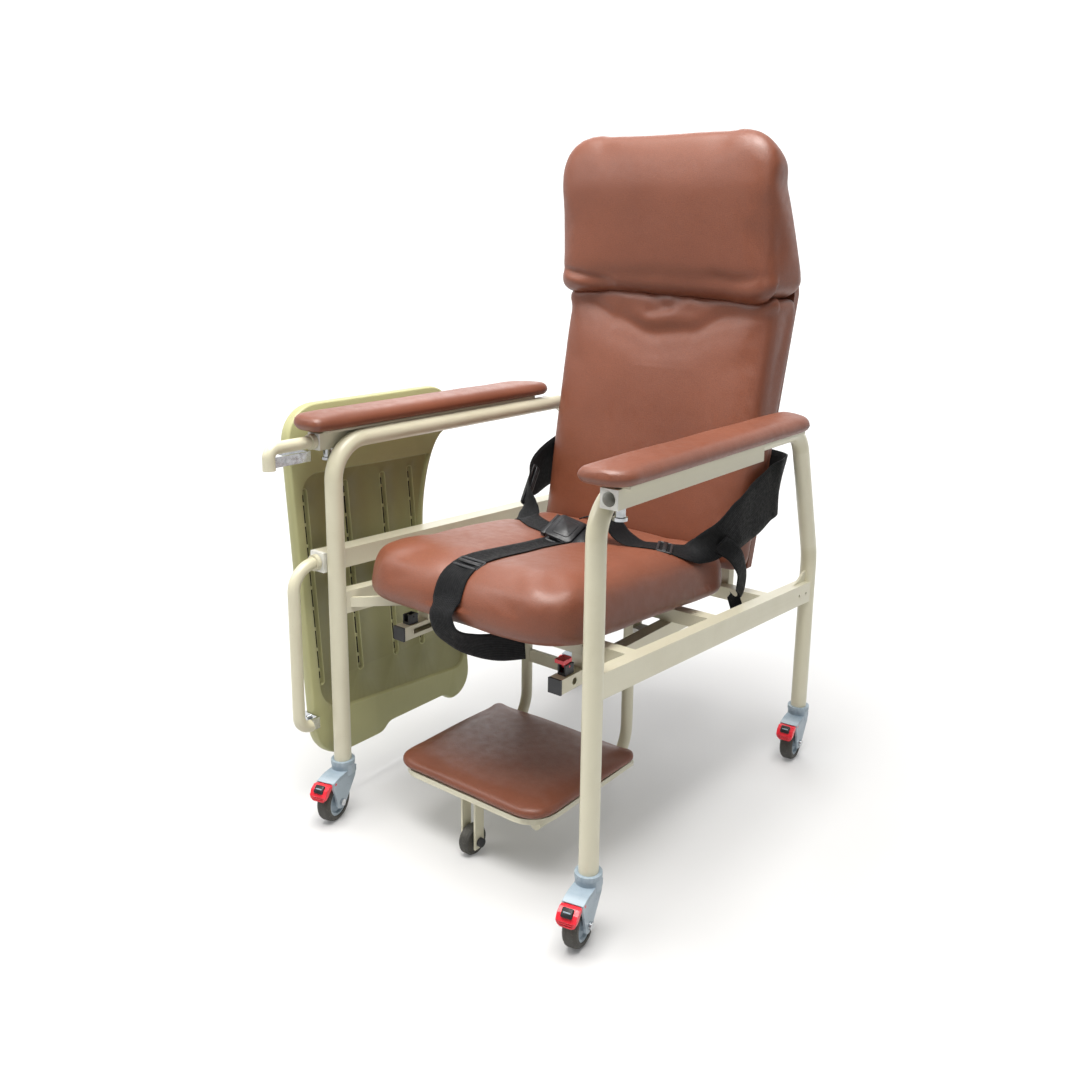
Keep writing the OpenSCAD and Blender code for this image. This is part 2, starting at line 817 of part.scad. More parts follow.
// Wide padded band from behind the back, round its side, to a strap across the seat
module lap_belt(side) {
    x = side * (back_w / 2 + 4);
    strap([
        [[x - side * 46, 668, 606], [0, 0.286, 0.958], band_w], [[x, 644, 598], [0, 0.286, 0.958], band_w],
        [[x, 610, 586], [0, 0.35, 0.94], band_w],
        [[x, 555, 566], [0, 0.45, 0.9], band_w], [[x - side * 6, 500, 552], [side * 0.2, 0.6, 0.78], band_w],
        [on_seat(side * 218, 440) + [0, 0, 24], [side * 0.45, 0.8, 0.3], band_w * 0.8],
        [on_seat(side * 170, 385) + [0, 0, 2], [side * 0.5, 0.85, -0.065], belt_w],
        [on_seat(side * 105, 335), [side * 0.35, 0.9, -0.071], belt_w],
        [on_seat(side * 38, 306), [side * 0.2, 0.95, -0.075], belt_w]], belt_t);
}

module lap_belt_left() {
    color(webbing) chair() lap_belt(1);
}

module lap_belt_right() {
    color(webbing) chair() lap_belt(-1);
}

module belt_buckle() {
    color(webbing) chair() translate(on_seat(0, 302)) rotate([-seat_tilt, 0, 0])
        block([-36, -30, belt_t / 2 + gap], [36, 30, 17]);
}

module crotch_strap() {
    color(webbing) chair() strap([
        [on_seat(-2, 268), [1, 0, 0], belt_w], [on_seat(-4, 180), [1, 0, 0], belt_w],
        [on_seat(-4, 90), [1, 0, 0], belt_w], [on_seat(-4, 46), [1, 0, 0], belt_w],
        [[-4, 20, 542.5], [1, 0, 0], belt_w], [[-4, -4.6, 530], [1, 0, 0], belt_w],
        [[-4, -17.6, 505.3], [1, 0, 0], belt_w], [[-4, -26, 478], [1, 0.05, 0], belt_w],
        [[4, -26, 444], [1, 0.15, 0], belt_w],
        [[22, -6, 418], [1, 0.3, 0], belt_w], [[54, 26, 408], [0.9, 0.5, 0], belt_w],
        [[90, 60, 410], [0.8, 0.6, 0], belt_w]], belt_t);
}

// ---------- castors, in their own frame: swivel axis up, wheel towards -Y ----------

module at_caster(c) {
    translate([c[0], c[1], 0]) rotate([0, 0, c[2]]) children();
}

head_top = leg_end_z - collar_h - 0.4;
web_z = wheel_d + 3;

// Stem that plugs into the leg, its collar, and the pin that the fork swivels on
module caster_stems() {
    color(steel_grey) chair() for (c = casters) at_caster(c) union() {
        translate([0, 0, leg_end_z - collar_h]) cylinder(r = 22, h = collar_h);
        translate([0, 0, leg_end_z - 1]) cylinder(r = stem_r, h = 46);
        translate([0, 0, web_z + 1]) cylinder(r = 6, h = leg_end_z - web_z - 2);
    }
}

module caster_fork(c) {
    color(steel_grey) chair() at_caster(c) difference() {
        union() {
            translate([0, 0, web_z]) cylinder(r = 21, h = head_top - web_z);
            for (x0 = [-cheek_out, cheek_in]) yz_plate(x0, x0 + cheek_out - cheek_in) union() {
                polygon([
                    [17, web_z + 11], [12, web_z - 8], [-14, 38], [-24, 26], [-44, 29], [-52, 60],
                    [-58, 74], [-58, 83], [-50, 86], [-34, web_z + 11]]);
                translate([-caster_trail, wheel_r]) circle(12.5);
            }
            block([-cheek_out, -34, web_z], [cheek_out, 16, web_z + 11]);
            yz_plate(-cheek_out, cheek_out) polygon([
                [-30, web_z + 11], [-34, web_z + 11], [-50, 86.4], [-58, 84.6], [-58, 83.4],
                [-30, web_z + 8.5]]);
        }
        translate([0, 0, web_z - 1]) cylinder(r = 6.05, h = 40);
        x_cylinder(-20, 20, -caster_trail, wheel_r, axle_r);
        x_cylinder(-20, 20, pedal_pivot[0], pedal_pivot[1], 2.55);
    }
}

module caster_hub(c) {
    color(steel_grey) chair() at_caster(c) translate([-11, -caster_trail, wheel_r]) rotate([0, 90, 0])
        rotate_extrude() polygon([
            [axle_r + 0.05, -2.5], [9, -2.5], [11, 3], [21, 4], [23, 0], [hub_r, 0],
            [hub_r, 22], [23, 22], [21, 18], [11, 19], [9, 24.5], [axle_r + 0.05, 24.5]]);
}

module caster_tyre(c) {
    shoulder = 4;
    color(tyre_black) chair() at_caster(c) translate([-tyre_w / 2, -caster_trail, wheel_r])
        rotate([0, 90, 0]) rotate_extrude() polygon([
            [hub_r, 0], [wheel_r - shoulder, 0], [wheel_r - 1, shoulder / 2 + 1], [wheel_r, 6],
            [wheel_r, tyre_w - 6], [wheel_r - 1, tyre_w - shoulder / 2 - 1],
            [wheel_r - shoulder, tyre_w], [hub_r, tyre_w]]);
}

module caster_axle(c) {
    color(chrome) chair() at_caster(c) union() {
        x_cylinder(-22, 22, -caster_trail, wheel_r, axle_r);
        x_cylinder(cheek_out, 23, -caster_trail, wheel_r, 6.5);
        x_cylinder(-23, -cheek_out, -caster_trail, wheel_r, 6.5);
    }
}

module brake_pedal(c) {
    color(pedal_red) chair() at_caster(c) union() {
        yz_plate(-cheek_in + 0.4, cheek_in - 0.4) polygon([
            [-44, 82], [-57, 82], [-66, 80], [-58, 76.5], [-44, 76.5]]);
        intersection() {
            yz_plate(-17, 17) polygon([
                [-60, 83], [-68, 84], [-77, 79], [-82, 69], [-81, 58], [-75, 57],
                [-74, 65], [-68, 73], [-60, 78]]);
            translate([0, -50, 0]) rotate([90, 0, 0]) linear_extrude(40) polygon(concat(
                arc_points(-5, 69, 12, 180, 270, 6), arc_points(5, 69, 12, 270, 360, 6),
                [[17, 90], [-17, 90]]));
        }
        x_cylinder(-cheek_out, cheek_out, pedal_pivot[0], pedal_pivot[1], 2.5);
    }
}

// ---------- the chair ----------

side_frame_left();
side_frame_right();
side_rails();
front_cross_beam();
caster_stems();
rear_cross_beams();
arm_sockets();
storage_tube();
socket_bushes();
plunger_housings();
plunger_pin_left();
plunger_pin_right();
seat_base();
seat_cushion();
back_frame();
back_board();
back_cushion();
head_cushion();
arm_pad_left();
arm_pad_right();
arm_pad_bases();
slide_rails();
rail_end_caps();
footrest_sliders();
footrest_frame();
footboard_base();
footboard_pad();
footrest_fork();
support_wheel();
support_wheel_bolt();
latch_bases();
latch_lever();
tray_panel();
tray_plug_tube();
tray_swing_arm();
tray_clamps();
lap_belt_left();
lap_belt_right();
belt_buckle();
crotch_strap();
caster_fork(caster_fl);  // caster_fork_fl
caster_fork(caster_fr);  // caster_fork_fr
caster_fork(caster_rl);  // caster_fork_rl
caster_fork(caster_rr);  // caster_fork_rr
caster_hub(caster_fl);  // caster_hub_fl
caster_hub(caster_fr);  // caster_hub_fr
caster_hub(caster_rl);  // caster_hub_rl
caster_hub(caster_rr);  // caster_hub_rr
caster_tyre(caster_fl);  // caster_tyre_fl
caster_tyre(caster_fr);  // caster_tyre_fr
caster_tyre(caster_rl);  // caster_tyre_rl
caster_tyre(caster_rr);  // caster_tyre_rr
caster_axle(caster_fl);  // caster_axle_fl
caster_axle(caster_fr);  // caster_axle_fr
caster_axle(caster_rl);  // caster_axle_rl
caster_axle(caster_rr);  // caster_axle_rr
brake_pedal(caster_fl);  // brake_pedal_fl
brake_pedal(caster_fr);  // brake_pedal_fr
brake_pedal(caster_rl);  // brake_pedal_rl
brake_pedal(caster_rr);  // brake_pedal_rr
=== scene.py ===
import json
import math
from collections import namedtuple

import bmesh
import bpy
from mathutils import Matrix, Vector, kdtree, noise


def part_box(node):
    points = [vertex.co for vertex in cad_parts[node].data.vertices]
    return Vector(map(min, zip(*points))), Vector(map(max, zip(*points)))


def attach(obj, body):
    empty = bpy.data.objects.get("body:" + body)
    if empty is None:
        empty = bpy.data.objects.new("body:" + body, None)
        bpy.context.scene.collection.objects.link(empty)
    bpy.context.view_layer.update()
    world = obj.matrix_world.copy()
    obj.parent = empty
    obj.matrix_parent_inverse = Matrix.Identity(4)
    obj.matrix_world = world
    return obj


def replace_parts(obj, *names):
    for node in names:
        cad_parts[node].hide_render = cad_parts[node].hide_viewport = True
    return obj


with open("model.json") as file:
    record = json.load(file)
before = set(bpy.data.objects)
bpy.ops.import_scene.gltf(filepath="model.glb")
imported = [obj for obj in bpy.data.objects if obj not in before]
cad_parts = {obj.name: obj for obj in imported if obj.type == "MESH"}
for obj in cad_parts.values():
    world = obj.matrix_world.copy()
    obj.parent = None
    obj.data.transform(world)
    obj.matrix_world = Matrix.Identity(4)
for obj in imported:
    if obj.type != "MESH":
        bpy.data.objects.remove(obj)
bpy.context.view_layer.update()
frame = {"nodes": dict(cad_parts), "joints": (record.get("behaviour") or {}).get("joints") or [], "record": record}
nodes = frame["nodes"]
scene = bpy.context.scene
scene.view_settings.view_transform = "Standard"

# Lengths below are in millimetres from the middle plane, the front leg axes and the floor.
# The open arm socket gives that point's place in the frame.
socket_mount = next(m for m in frame["record"]["mounts"] if m["name"] == "tray_socket_left")
ORIGIN = Vector(socket_mount["pos_m"]) - Vector((0.316, -0.016, 0.709))


def at(x, y, z):
    """Chair millimetres to the frame's metres."""
    return Vector((x, y, z)) / 1000 + ORIGIN


def chair_mm(point):
    """The frame's metres to chair millimetres."""
    return (point - ORIGIN) * 1000


# ---------- materials ----------

def srgb(r, g, b):
    """A linear colour from 0-255 display values."""
    def one(c):
        c /= 255
        return c / 12.92 if c <= 0.04045 else ((c + 0.055) / 1.055) ** 2.4
    return (one(r), one(g), one(b), 1)


class Mat:
    """A principled material with helpers that add procedural layers to it."""

    def __init__(self, name, rough=0.5, metallic=0.0, **sockets):
        self.m = bpy.data.materials.new(name)
        self.m.use_nodes = True
        self.t = self.m.node_tree
        self.n = self.t.nodes
        self.bsdf = self.n["Principled BSDF"]
        self.bsdf.inputs["Roughness"].default_value = rough
        self.bsdf.inputs["Metallic"].default_value = metallic
        for key, value in sockets.items():
            self.bsdf.inputs[key.replace("_", " ")].default_value = value
        self.coord = self.n.new("ShaderNodeTexCoord")
        self.place = self.coord.outputs["Object"]
        self.normal = None

    def link(self, a, b):
        self.t.links.new(a, b)

    def noise(self, scale, detail=3, rough=0.5):
        node = self.n.new("ShaderNodeTexNoise")
        node.inputs["Scale"].default_value = scale
        node.inputs["Detail"].default_value = detail
        node.inputs["Roughness"].default_value = rough
        self.link(self.place, node.inputs["Vector"])
        return node.outputs["Fac"]

    def cells(self, scale, feature="F1"):
        node = self.n.new("ShaderNodeTexVoronoi")
        node.feature = feature
        node.inputs["Scale"].default_value = scale
        self.link(self.place, node.inputs["Vector"])
        return node.outputs["Distance"]

    def ramp(self, value, low, high, a, b):
        node = self.n.new("ShaderNodeMapRange")
        node.inputs["From Min"].default_value = low
        node.inputs["From Max"].default_value = high
        node.inputs["To Min"].default_value = a
        node.inputs["To Max"].default_value = b
        self.link(value, node.inputs["Value"])
        return node.outputs["Result"]

    def mix(self, factor, a, b):
        node = self.n.new("ShaderNodeMix")
        node.data_type = "RGBA"
        self.link(factor, node.inputs["Factor"])
        for value, socket in ((a, node.inputs["A"]), (b, node.inputs["B"])):
            if isinstance(value, tuple):
                socket.default_value = value
            else:
                self.link(value, socket)
        return node.outputs["Result"]

    def math(self, op, a, b):
        node = self.n.new("ShaderNodeMath")
        node.operation = op
        for value, socket in ((a, node.inputs[0]), (b, node.inputs[1])):
            if isinstance(value, (int, float)):
                socket.default_value = value
            else:
                self.link(value, socket)
        return node.outputs[0]

    def colour(self, output):
        self.link(output, self.bsdf.inputs["Base Color"])

    def roughness(self, output):
        self.link(output, self.bsdf.inputs["Roughness"])

    def bump(self, height, strength, distance=0.001):
        node = self.n.new("ShaderNodeBump")
        node.inputs["Strength"].default_value = strength
        node.inputs["Distance"].default_value = distance
        self.link(height, node.inputs["Height"])
        if self.normal:
            self.link(self.normal, node.inputs["Normal"])
        self.normal = node.outputs["Normal"]
        self.link(self.normal, self.bsdf.inputs["Normal"])

    def cavity(self):
        """Pointiness: about 0.5 on flats, higher on outer edges and lower in hollows."""
        return self.n.new("ShaderNodeNewGeometry").outputs["Pointiness"]


def vinyl_material():
    m = Mat("vinyl", 0.45, Specular_IOR_Level=0.55, Coat_Weight=0.2, Coat_Roughness=0.46)
    patch = m.ramp(m.noise(4, 3), 0.35, 0.7, 0, 1)
    tone = m.mix(patch, srgb(113, 61, 40), srgb(127, 71, 48))
    fleck = m.ramp(m.noise(700, 2, 0.6), 0.4, 0.7, 0, 0.5)
    tone = m.mix(fleck, tone, srgb(85, 46, 31))
    m.colour(tone)
    m.roughness(m.ramp(m.noise(60, 4), 0.3, 0.7, 0.4, 0.54))
    grain = m.cells(620, "SMOOTH_F1")
    m.bump(grain, 0.32, 0.0006)
    m.bump(m.noise(1500, 2), 0.2, 0.0003)
    m.bump(m.noise(22, 3), 0.12, 0.004)
    return m.m


def paint_material():
    m = Mat("cream_paint", 0.34, Specular_IOR_Level=0.5, Coat_Weight=0.25, Coat_Roughness=0.25)
    grime = m.ramp(m.noise(9, 5, 0.6), 0.5, 0.85, 0, 0.55)
    tone = m.mix(grime, srgb(202, 197, 172), srgb(184, 176, 147))
    speck = m.ramp(m.noise(420, 2), 0.66, 0.76, 0, 0.3)
    tone = m.mix(speck, tone, srgb(170, 158, 130))
    # Outer edges are made a paler cream: a painted highlight.
    edge = m.ramp(m.cavity(), 0.53, 0.62, 0, 0.4)
    tone = m.mix(edge, tone, srgb(218, 214, 194))
    m.colour(tone)
    m.roughness(m.ramp(m.noise(35, 4), 0.3, 0.7, 0.28, 0.42))
    m.bump(m.noise(340, 2), 0.1, 0.0005)
    m.bump(m.noise(40, 2), 0.05, 0.002)
    return m.m


def tray_material():
    m = Mat("tray_plastic", 0.44, Specular_IOR_Level=0.45)
    patch = m.ramp(m.noise(5, 4), 0.3, 0.75, 0, 1)
    tone = m.mix(patch, srgb(150, 148, 104), srgb(162, 160, 116))
    # Outer edges are made lighter (a painted highlight) and hollows darker (painted shade).
    edge = m.ramp(m.cavity(), 0.51, 0.58, 0, 0.75)
    tone = m.mix(edge, tone, srgb(198, 198, 150))
    hollow_shade = m.ramp(m.cavity(), 0.49, 0.42, 0, 0.55)
    tone = m.mix(hollow_shade, tone, srgb(104, 100, 62))
    m.colour(tone)
    m.roughness(m.ramp(m.noise(50, 4), 0.3, 0.7, 0.38, 0.52))
    m.bump(m.noise(700, 2), 0.16, 0.0005)
    m.bump(m.noise(14, 3), 0.1, 0.003)
    return m.m


def slit_shade_material():
    # Dark olive for the walls and floor of the slits in the tray's grooves: painted shade.
    m = Mat("tray_slit_painted_shade", 0.7)
    m.colour(m.mix(m.noise(120), srgb(58, 54, 32), srgb(40, 38, 24)))
    m.bump(m.noise(500), 0.2, 0.0005)
    return m.m


def castor_material():
    m = Mat("castor_nylon", 0.4, Specular_IOR_Level=0.45)
    tone = m.mix(m.ramp(m.noise(40, 4), 0.3, 0.7, 0, 1), srgb(134, 150, 162), srgb(150, 164, 174))
    # Outer edges are made paler: a painted highlight.
    tone = m.mix(m.ramp(m.cavity(), 0.53, 0.62, 0, 0.6), tone, srgb(178, 190, 198))
    tone = m.mix(m.ramp(m.noise(260, 3), 0.62, 0.72, 0, 0.35), tone, srgb(98, 108, 112))
    m.colour(tone)
    m.roughness(m.ramp(m.noise(90, 3), 0.3, 0.7, 0.34, 0.5))
    m.bump(m.noise(900, 2), 0.18, 0.0004)
    return m.m


def pedal_material():
    m = Mat("pedal_red", 0.3, Specular_IOR_Level=0.5, Coat_Weight=0.15, Coat_Roughness=0.2)
    tone = m.mix(m.ramp(m.noise(60, 3), 0.3, 0.7, 0, 1), srgb(214, 34, 48), srgb(232, 52, 66))
    tone = m.mix(m.ramp(m.noise(330, 3), 0.64, 0.72, 0, 0.5), tone, srgb(150, 24, 34))
    m.colour(tone)
    m.roughness(m.ramp(m.noise(200, 3), 0.3, 0.7, 0.24, 0.42))
    m.bump(m.noise(800, 2), 0.12, 0.0004)
    return m.m


def black_material():
    m = Mat("black_plastic", 0.42, Specular_IOR_Level=0.45)
    tone = m.mix(m.ramp(m.noise(80, 4), 0.3, 0.7, 0, 1), srgb(16, 17, 19), srgb(27, 28, 31))
    # Outer edges are made lighter grey: a painted highlight.
    tone = m.mix(m.ramp(m.cavity(), 0.54, 0.62, 0, 0.5), tone, srgb(56, 57, 60))
    m.colour(tone)
    m.roughness(m.ramp(m.noise(120, 3), 0.3, 0.7, 0.34, 0.52))
    m.bump(m.noise(900, 2), 0.2, 0.0004)
    return m.m


def board_material():
    m = Mat("black_board", 0.7)
    tone = m.mix(m.ramp(m.noise(30, 4), 0.3, 0.7, 0, 1), srgb(34, 36, 39), srgb(48, 50, 54))
    m.colour(tone)
    m.roughness(m.ramp(m.noise(60, 4), 0.3, 0.7, 0.6, 0.85))
    m.bump(m.cells(500), 0.3, 0.0006)
    return m.m


def webbing_material():
    """A woven band. Straps carry UVs in metres: u across the strap, v along it."""
    rib_pitch, pick_pitch = 0.0032, 0.0026
    m = Mat("webbing", 0.6, Specular_IOR_Level=0.2, Sheen_Weight=0.02, Sheen_Roughness=0.5)
    separate = m.n.new("ShaderNodeSeparateXYZ")
    m.link(m.coord.outputs["UV"], separate.inputs[0])
    u, v = separate.outputs["X"], separate.outputs["Y"]
    rib = m.math("SINE", m.math("MULTIPLY", u, 2 * math.pi / rib_pitch), 0)
    pick = m.math("SINE", m.math("ADD", m.math("MULTIPLY", v, 2 * math.pi / pick_pitch),
                                 m.math("MULTIPLY", rib, 1.4)), 0)
    weave = m.math("ADD", m.math("MULTIPLY", rib, 0.6), m.math("MULTIPLY", pick, 0.4))
    tone = m.mix(m.ramp(weave, -1, 1, 0, 1), srgb(4, 5, 6), srgb(12, 13, 16))
    tone = m.mix(m.ramp(m.noise(70, 4), 0.5, 0.8, 0, 0.4), tone, srgb(18, 20, 24))
    m.colour(tone)
    m.roughness(m.ramp(m.noise(150, 3), 0.3, 0.7, 0.52, 0.75))
    m.bump(weave, 0.55, 0.0007)
    m.bump(m.noise(1200, 2), 0.2, 0.0004)
    return m.m


def tyre_material():
    m = Mat("tyre_rubber", 0.6)
    tone = m.mix(m.ramp(m.noise(60, 4), 0.3, 0.75, 0, 1), srgb(52, 51, 47), srgb(74, 72, 66))
    tone = m.mix(m.ramp(m.noise(300, 4), 0.58, 0.7, 0, 0.45), tone, srgb(104, 100, 90))
    m.colour(tone)
    m.roughness(m.ramp(m.noise(120, 4), 0.3, 0.7, 0.5, 0.75))
    m.bump(m.noise(600, 3), 0.25, 0.0005)
    return m.m


def chrome_material():
    m = Mat("chrome", 0.16, 1.0)
    tone = m.mix(m.ramp(m.noise(90, 4), 0.4, 0.8, 0, 1), srgb(212, 215, 218), srgb(176, 178, 180))
    m.colour(tone)
    m.roughness(m.ramp(m.noise(160, 4), 0.3, 0.75, 0.1, 0.3))
    m.bump(m.noise(500, 2), 0.06, 0.0003)
    return m.m


def white_material():
    m = Mat("white_nylon", 0.4)
    tone = m.mix(m.ramp(m.noise(60, 4), 0.4, 0.8, 0, 1), srgb(228, 228, 222), srgb(206, 204, 194))
    m.colour(tone)
    m.roughness(m.ramp(m.noise(100, 3), 0.3, 0.7, 0.32, 0.48))
    m.bump(m.noise(700, 2), 0.14, 0.0004)
    return m.m


MATERIALS = {
    "vinyl": vinyl_material(), "cream": paint_material(), "tray": tray_material(),
    "castor": castor_material(), "pedal": pedal_material(), "black": black_material(),
    "board": board_material(), "webbing": webbing_material(), "tyre": tyre_material(),
    "chrome": chrome_material(), "white": white_material(), "painted_slit_shade": slit_shade_material(),
}
slot_of = {s["node"]: s["material_slot"] for s in frame["record"]["subparts"]}
for name, obj in nodes.items():
    obj.data.materials.clear()
    obj.data.materials.append(MATERIALS[slot_of[name]])


# ---------- mesh helpers ----------

def piece(name, points, faces, material, body, smooth=True, uvs=None):
    """A mesh object from points in chair millimetres, riding on a body."""
    mesh = bpy.data.meshes.new(name)
    mesh.from_pydata([at(*p) for p in points], [], faces)
    if uvs:
        layer = mesh.uv_layers.new(name="UVMap")
        for loop in mesh.loops:
            layer.data[loop.index].uv = uvs[loop.vertex_index]
    bm = bmesh.new()
    bm.from_mesh(mesh)
    bmesh.ops.recalc_face_normals(bm, faces=bm.faces)
    bm.to_mesh(mesh)
    bm.free()
    for polygon in mesh.polygons:
        polygon.use_smooth = smooth
    mesh.materials.append(MATERIALS[material])
    obj = bpy.data.objects.new(name, mesh)
    scene.collection.objects.link(obj)
    if body:
        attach(obj, body)
    return obj


def spline(points, n):
    """n points evenly along a Catmull-Rom curve through the given points (tuples of floats)."""
    count = len(points)
    dense = []
    for i in range(count - 1):
        p0, p1 = points[max(i - 1, 0)], points[i]
        p2, p3 = points[i + 1], points[min(i + 2, count - 1)]
        for k in range(24):
            t = k / 24
            dense.append(tuple(
                0.5 * (2 * b + (c - a) * t + (2 * a - 5 * b + 4 * c - d) * t * t
                       + (3 * b - a - 3 * c + d) * t ** 3)
                for a, b, c, d in zip(p0, p1, p2, p3)))
    dense.append(tuple(points[-1]))
    lengths = [0]
    for a, b in zip(dense, dense[1:]):
        lengths.append(lengths[-1] + math.dist(a[:3], b[:3]))
    out, j = [], 0
    for i in range(n):
        target = lengths[-1] * i / (n - 1)
        while j < len(dense) - 2 and lengths[j + 1] < target:
            j += 1
        span = max(lengths[j + 1] - lengths[j], 1e-9)
        t = min(max((target - lengths[j]) / span, 0), 1)
        out.append(tuple(a + (b - a) * t for a, b in zip(dense[j], dense[j + 1])))
    return out, lengths[-1]


# ---------- padded pieces ----------

# The crease between the back and the head cushion is at CREASE_Z. Fronts are the back board's y.
CREASE_Z = 962
SEAT_TILT = math.tan(math.radians(4.5))
SEAT_PLANE = 437.3
LOW_Z, LOW_FRONT, CREASE_FRONT = 440, 586, 724
BACK_LEAN = (CREASE_FRONT - LOW_FRONT) / (CREASE_Z - LOW_Z)
HEAD_LEAN = 36 / 222

pad_low, pad_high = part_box("arm_pad_left")
ARM_MID = chair_mm((Vector(pad_low) + Vector(pad_high)) / 2).x
ARM_HALF = (pad_high[0] - pad_low[0]) * 500


def seat_height(p):
    """Height above the seat board's underside."""
    return p.z - SEAT_PLANE + p.y * SEAT_TILT


def back_depth(p):
    """Distance ahead of the back board's front face."""
    front = LOW_FRONT + (p.z - LOW_Z) * BACK_LEAN
    if p.z > CREASE_Z:
        front = CREASE_FRONT - (p.z - CREASE_Z) * HEAD_LEAN
    return front - p.y


def bell(value, centre, width):
    """1 at the centre, falling smoothly to 0 a few widths away."""
    return math.exp(-((value - centre) / width) ** 2)


def near_path(p, path, width):
    """Largest bell of the distance from p to a polyline in plan view."""
    best = 1e9
    for a, b in zip(path, path[1:]):
        d = Vector((b[0] - a[0], b[1] - a[1]))
        t = min(max(((p.x - a[0]) * d.x + (p.y - a[1]) * d.y) / d.length_squared, 0), 1)
        best = min(best, math.hypot(p.x - a[0] - d.x * t, p.y - a[1] - d.y * t))
    return math.exp(-(best / width) ** 2)


CROTCH_PATH = [(-2, 268), (-4, -60)]
LAP_PATHS = [[(4, 312), (105, 345), (175, 398), (240, 440)],
             [(4, 312), (-110, 338), (-180, 392), (-240, 440)]]


def seat_shape(p, n):
    """Belts press into the top, and the belt over the front edge pinches it."""
    push = 0
    if n.z > -0.2:
        push += 10 * near_path(p, CROTCH_PATH, 34)
        for path in LAP_PATHS:
            push += 5 * near_path(p, path, 30)
    ripple = noise.noise(Vector((p.x / 90, p.y / 70, p.z / 60))) * 2.2
    low = bell(seat_height(p), 14, 22)
    flat = Vector((n.x, n.y, 0))
    rim = max(abs(p.x) - 150, 90 - p.y, 0) / 90
    sag = Vector((0, 0, -9 * min(rim, 1) * low)) if n.z < 0.1 else Vector()
    return -n * (push - ripple - 2) + flat * 12 * low + sag


def curve_at(x, knots):
    """Height at x of a smooth line through (x, z) knots."""
    if x <= knots[0][0]:
        return knots[0][1]
    for (x0, z0), (x1, z1) in zip(knots, knots[1:]):
        if x <= x1:
            t = (x - x0) / (x1 - x0)
            t = t * t * (3 - 2 * t)
            return z0 + (z1 - z0) * t
    return knots[-1][1]


# The crease as (x, z), and the lower end of the roll of slack cover below it
CREASE = [(-240, 960), (-165, 965), (-55, 963), (60, 960), (120, 957), (205, 954), (245, 966)]
ROLL_END = [(-225, 950), (-170, 940), (-105, 918), (-14, 893), (70, 901), (150, 932), (225, 946)]


def line_push(p, path, depth, width):
    """A groove along an (x, z) polyline that fades at its ends."""
    best, where = 1e9, 0
    count = len(path) - 1
    for i in range(count):
        (ax, az), (bx, bz) = path[i], path[i + 1]
        dx, dz = bx - ax, bz - az
        t = min(max(((p.x - ax) * dx + (p.z - az) * dz) / (dx * dx + dz * dz), 0), 1)
        d = math.hypot(p.x - ax - dx * t, p.z - az - dz * t)
        if d < best:
            best, where = d, (i + t) / count
    fade = math.sin(math.pi * min(max(where, 0.02), 0.98)) ** 0.5
    return depth * fade * math.exp(-(best / width) ** 2)


def crease_shift(p):
    """Moves both cushions' facing edges onto the crease line."""
    return Vector((0, 0, (curve_at(p.x, CREASE) - CREASE_Z) * bell(p.z, CREASE_Z, 50)))


def back_shape(p, n):
    """A roll of slack cover and its folds below the crease, and sides that wrap the board."""
    push = 0
    if n.y < 0.3 and p.z > 820:
        front = 1 if n.y < -0.15 else 0.4
        end = curve_at(p.x, ROLL_END)
        inside = bell(p.x, -20, 190) * front
        push -= 13 * bell(p.z, CREASE_Z - 10, 17) * front
        push -= 6 * bell(p.z, (end + CREASE_Z) / 2, max((CREASE_Z - end) / 2, 8)) * inside
        push += 7.0 * bell(p.z, end - 9, 17) * inside
        push += 3.5 * bell(p.z, end - 36, 26) * inside
        push += line_push(p, [(-40, 958), (-12, 944), (21, 934), (44, 944), (62, 957)], 4.5, 10)
        push += line_push(p, [(21, 934), (-4, 925), (-40, 919)], 3, 10)
        push += line_push(p, [(66, 954), (110, 943), (160, 940)], 4, 10)
        push += line_push(p, [(-190, 958), (-150, 946), (-95, 936)], 3.5, 8)
    ripple = noise.noise(Vector((p.x / 130, p.z / 120, 3))) * 1.6
    flare = Vector((n.x * 5, 12, 0)) * min(max((n.y + 0.2) / 0.6, 0), 1)
    return -n * (push - ripple) + crease_shift(p) + flare


def head_shape(p, n):
    """Tucks along the lower edge, and a rear that flares over the board."""
    push = 0
    if n.y < 0.3 and p.z < 1060:
        front = 1 if n.y < -0.15 else 0.4
        push -= 13 * bell(p.z, CREASE_Z + 12, 17) * front
        push += line_push(p, [(-230, 1004), (-200, 997), (-160, 990), (-110, 986)], 6, 6)
        push -= line_push(p, [(-230, 994), (-190, 986), (-140, 980)], 4, 7)
        push += line_push(p, [(120, 1004), (170, 996), (226, 1001)], 3.5, 10)
    ripple = noise.noise(Vector((p.x / 120, p.z / 100, 9))) * 2.0
    low = min(max((1190 - p.z) / 220, 0), 1)
    rear = min(max((p.y - 625) / 50, 0), 1)
    flare = Vector((n.x * 10, 14, 0)) * low * rear
    flare += Vector((0, 0, 7)) * min(max((p.z - 1090) / 130, 0), 1)
    return -n * (push - ripple - 5) + crease_shift(p) + flare


def round_head(p):
    """Turns the bluntly cut upper corners of the solid into large round ones."""
    radius, blend, foot, rise = 73, 22, 14, 0.139
    corner_x, corner_z = 172, 1188
    x, z = abs(p.x) - corner_x, p.z - corner_z
    if x <= -blend or z <= -foot:
        return p
    if x <= 0:
        lift = 1 + rise * (x + blend) / blend
        return Vector((p.x, p.y, corner_z + z * lift if z > 0 else p.z))
    c, d = math.cos(math.atan2(max(z, 0), x)), math.sin(math.atan2(max(z, 0), x))
    # The distance to the solid's side, or to either face of its cut corner, in this direction
    edge = min(radius / max(c, 0.01), 58.3 / (0.899 * c + 0.439 * d), 56.9 / (0.463 * c + 0.887 * d))
    grow = 1 + (radius / edge - 1) * min((z + foot) / foot, 1)
    return Vector((math.copysign(corner_x + x * grow, p.x), p.y, corner_z + z * grow))


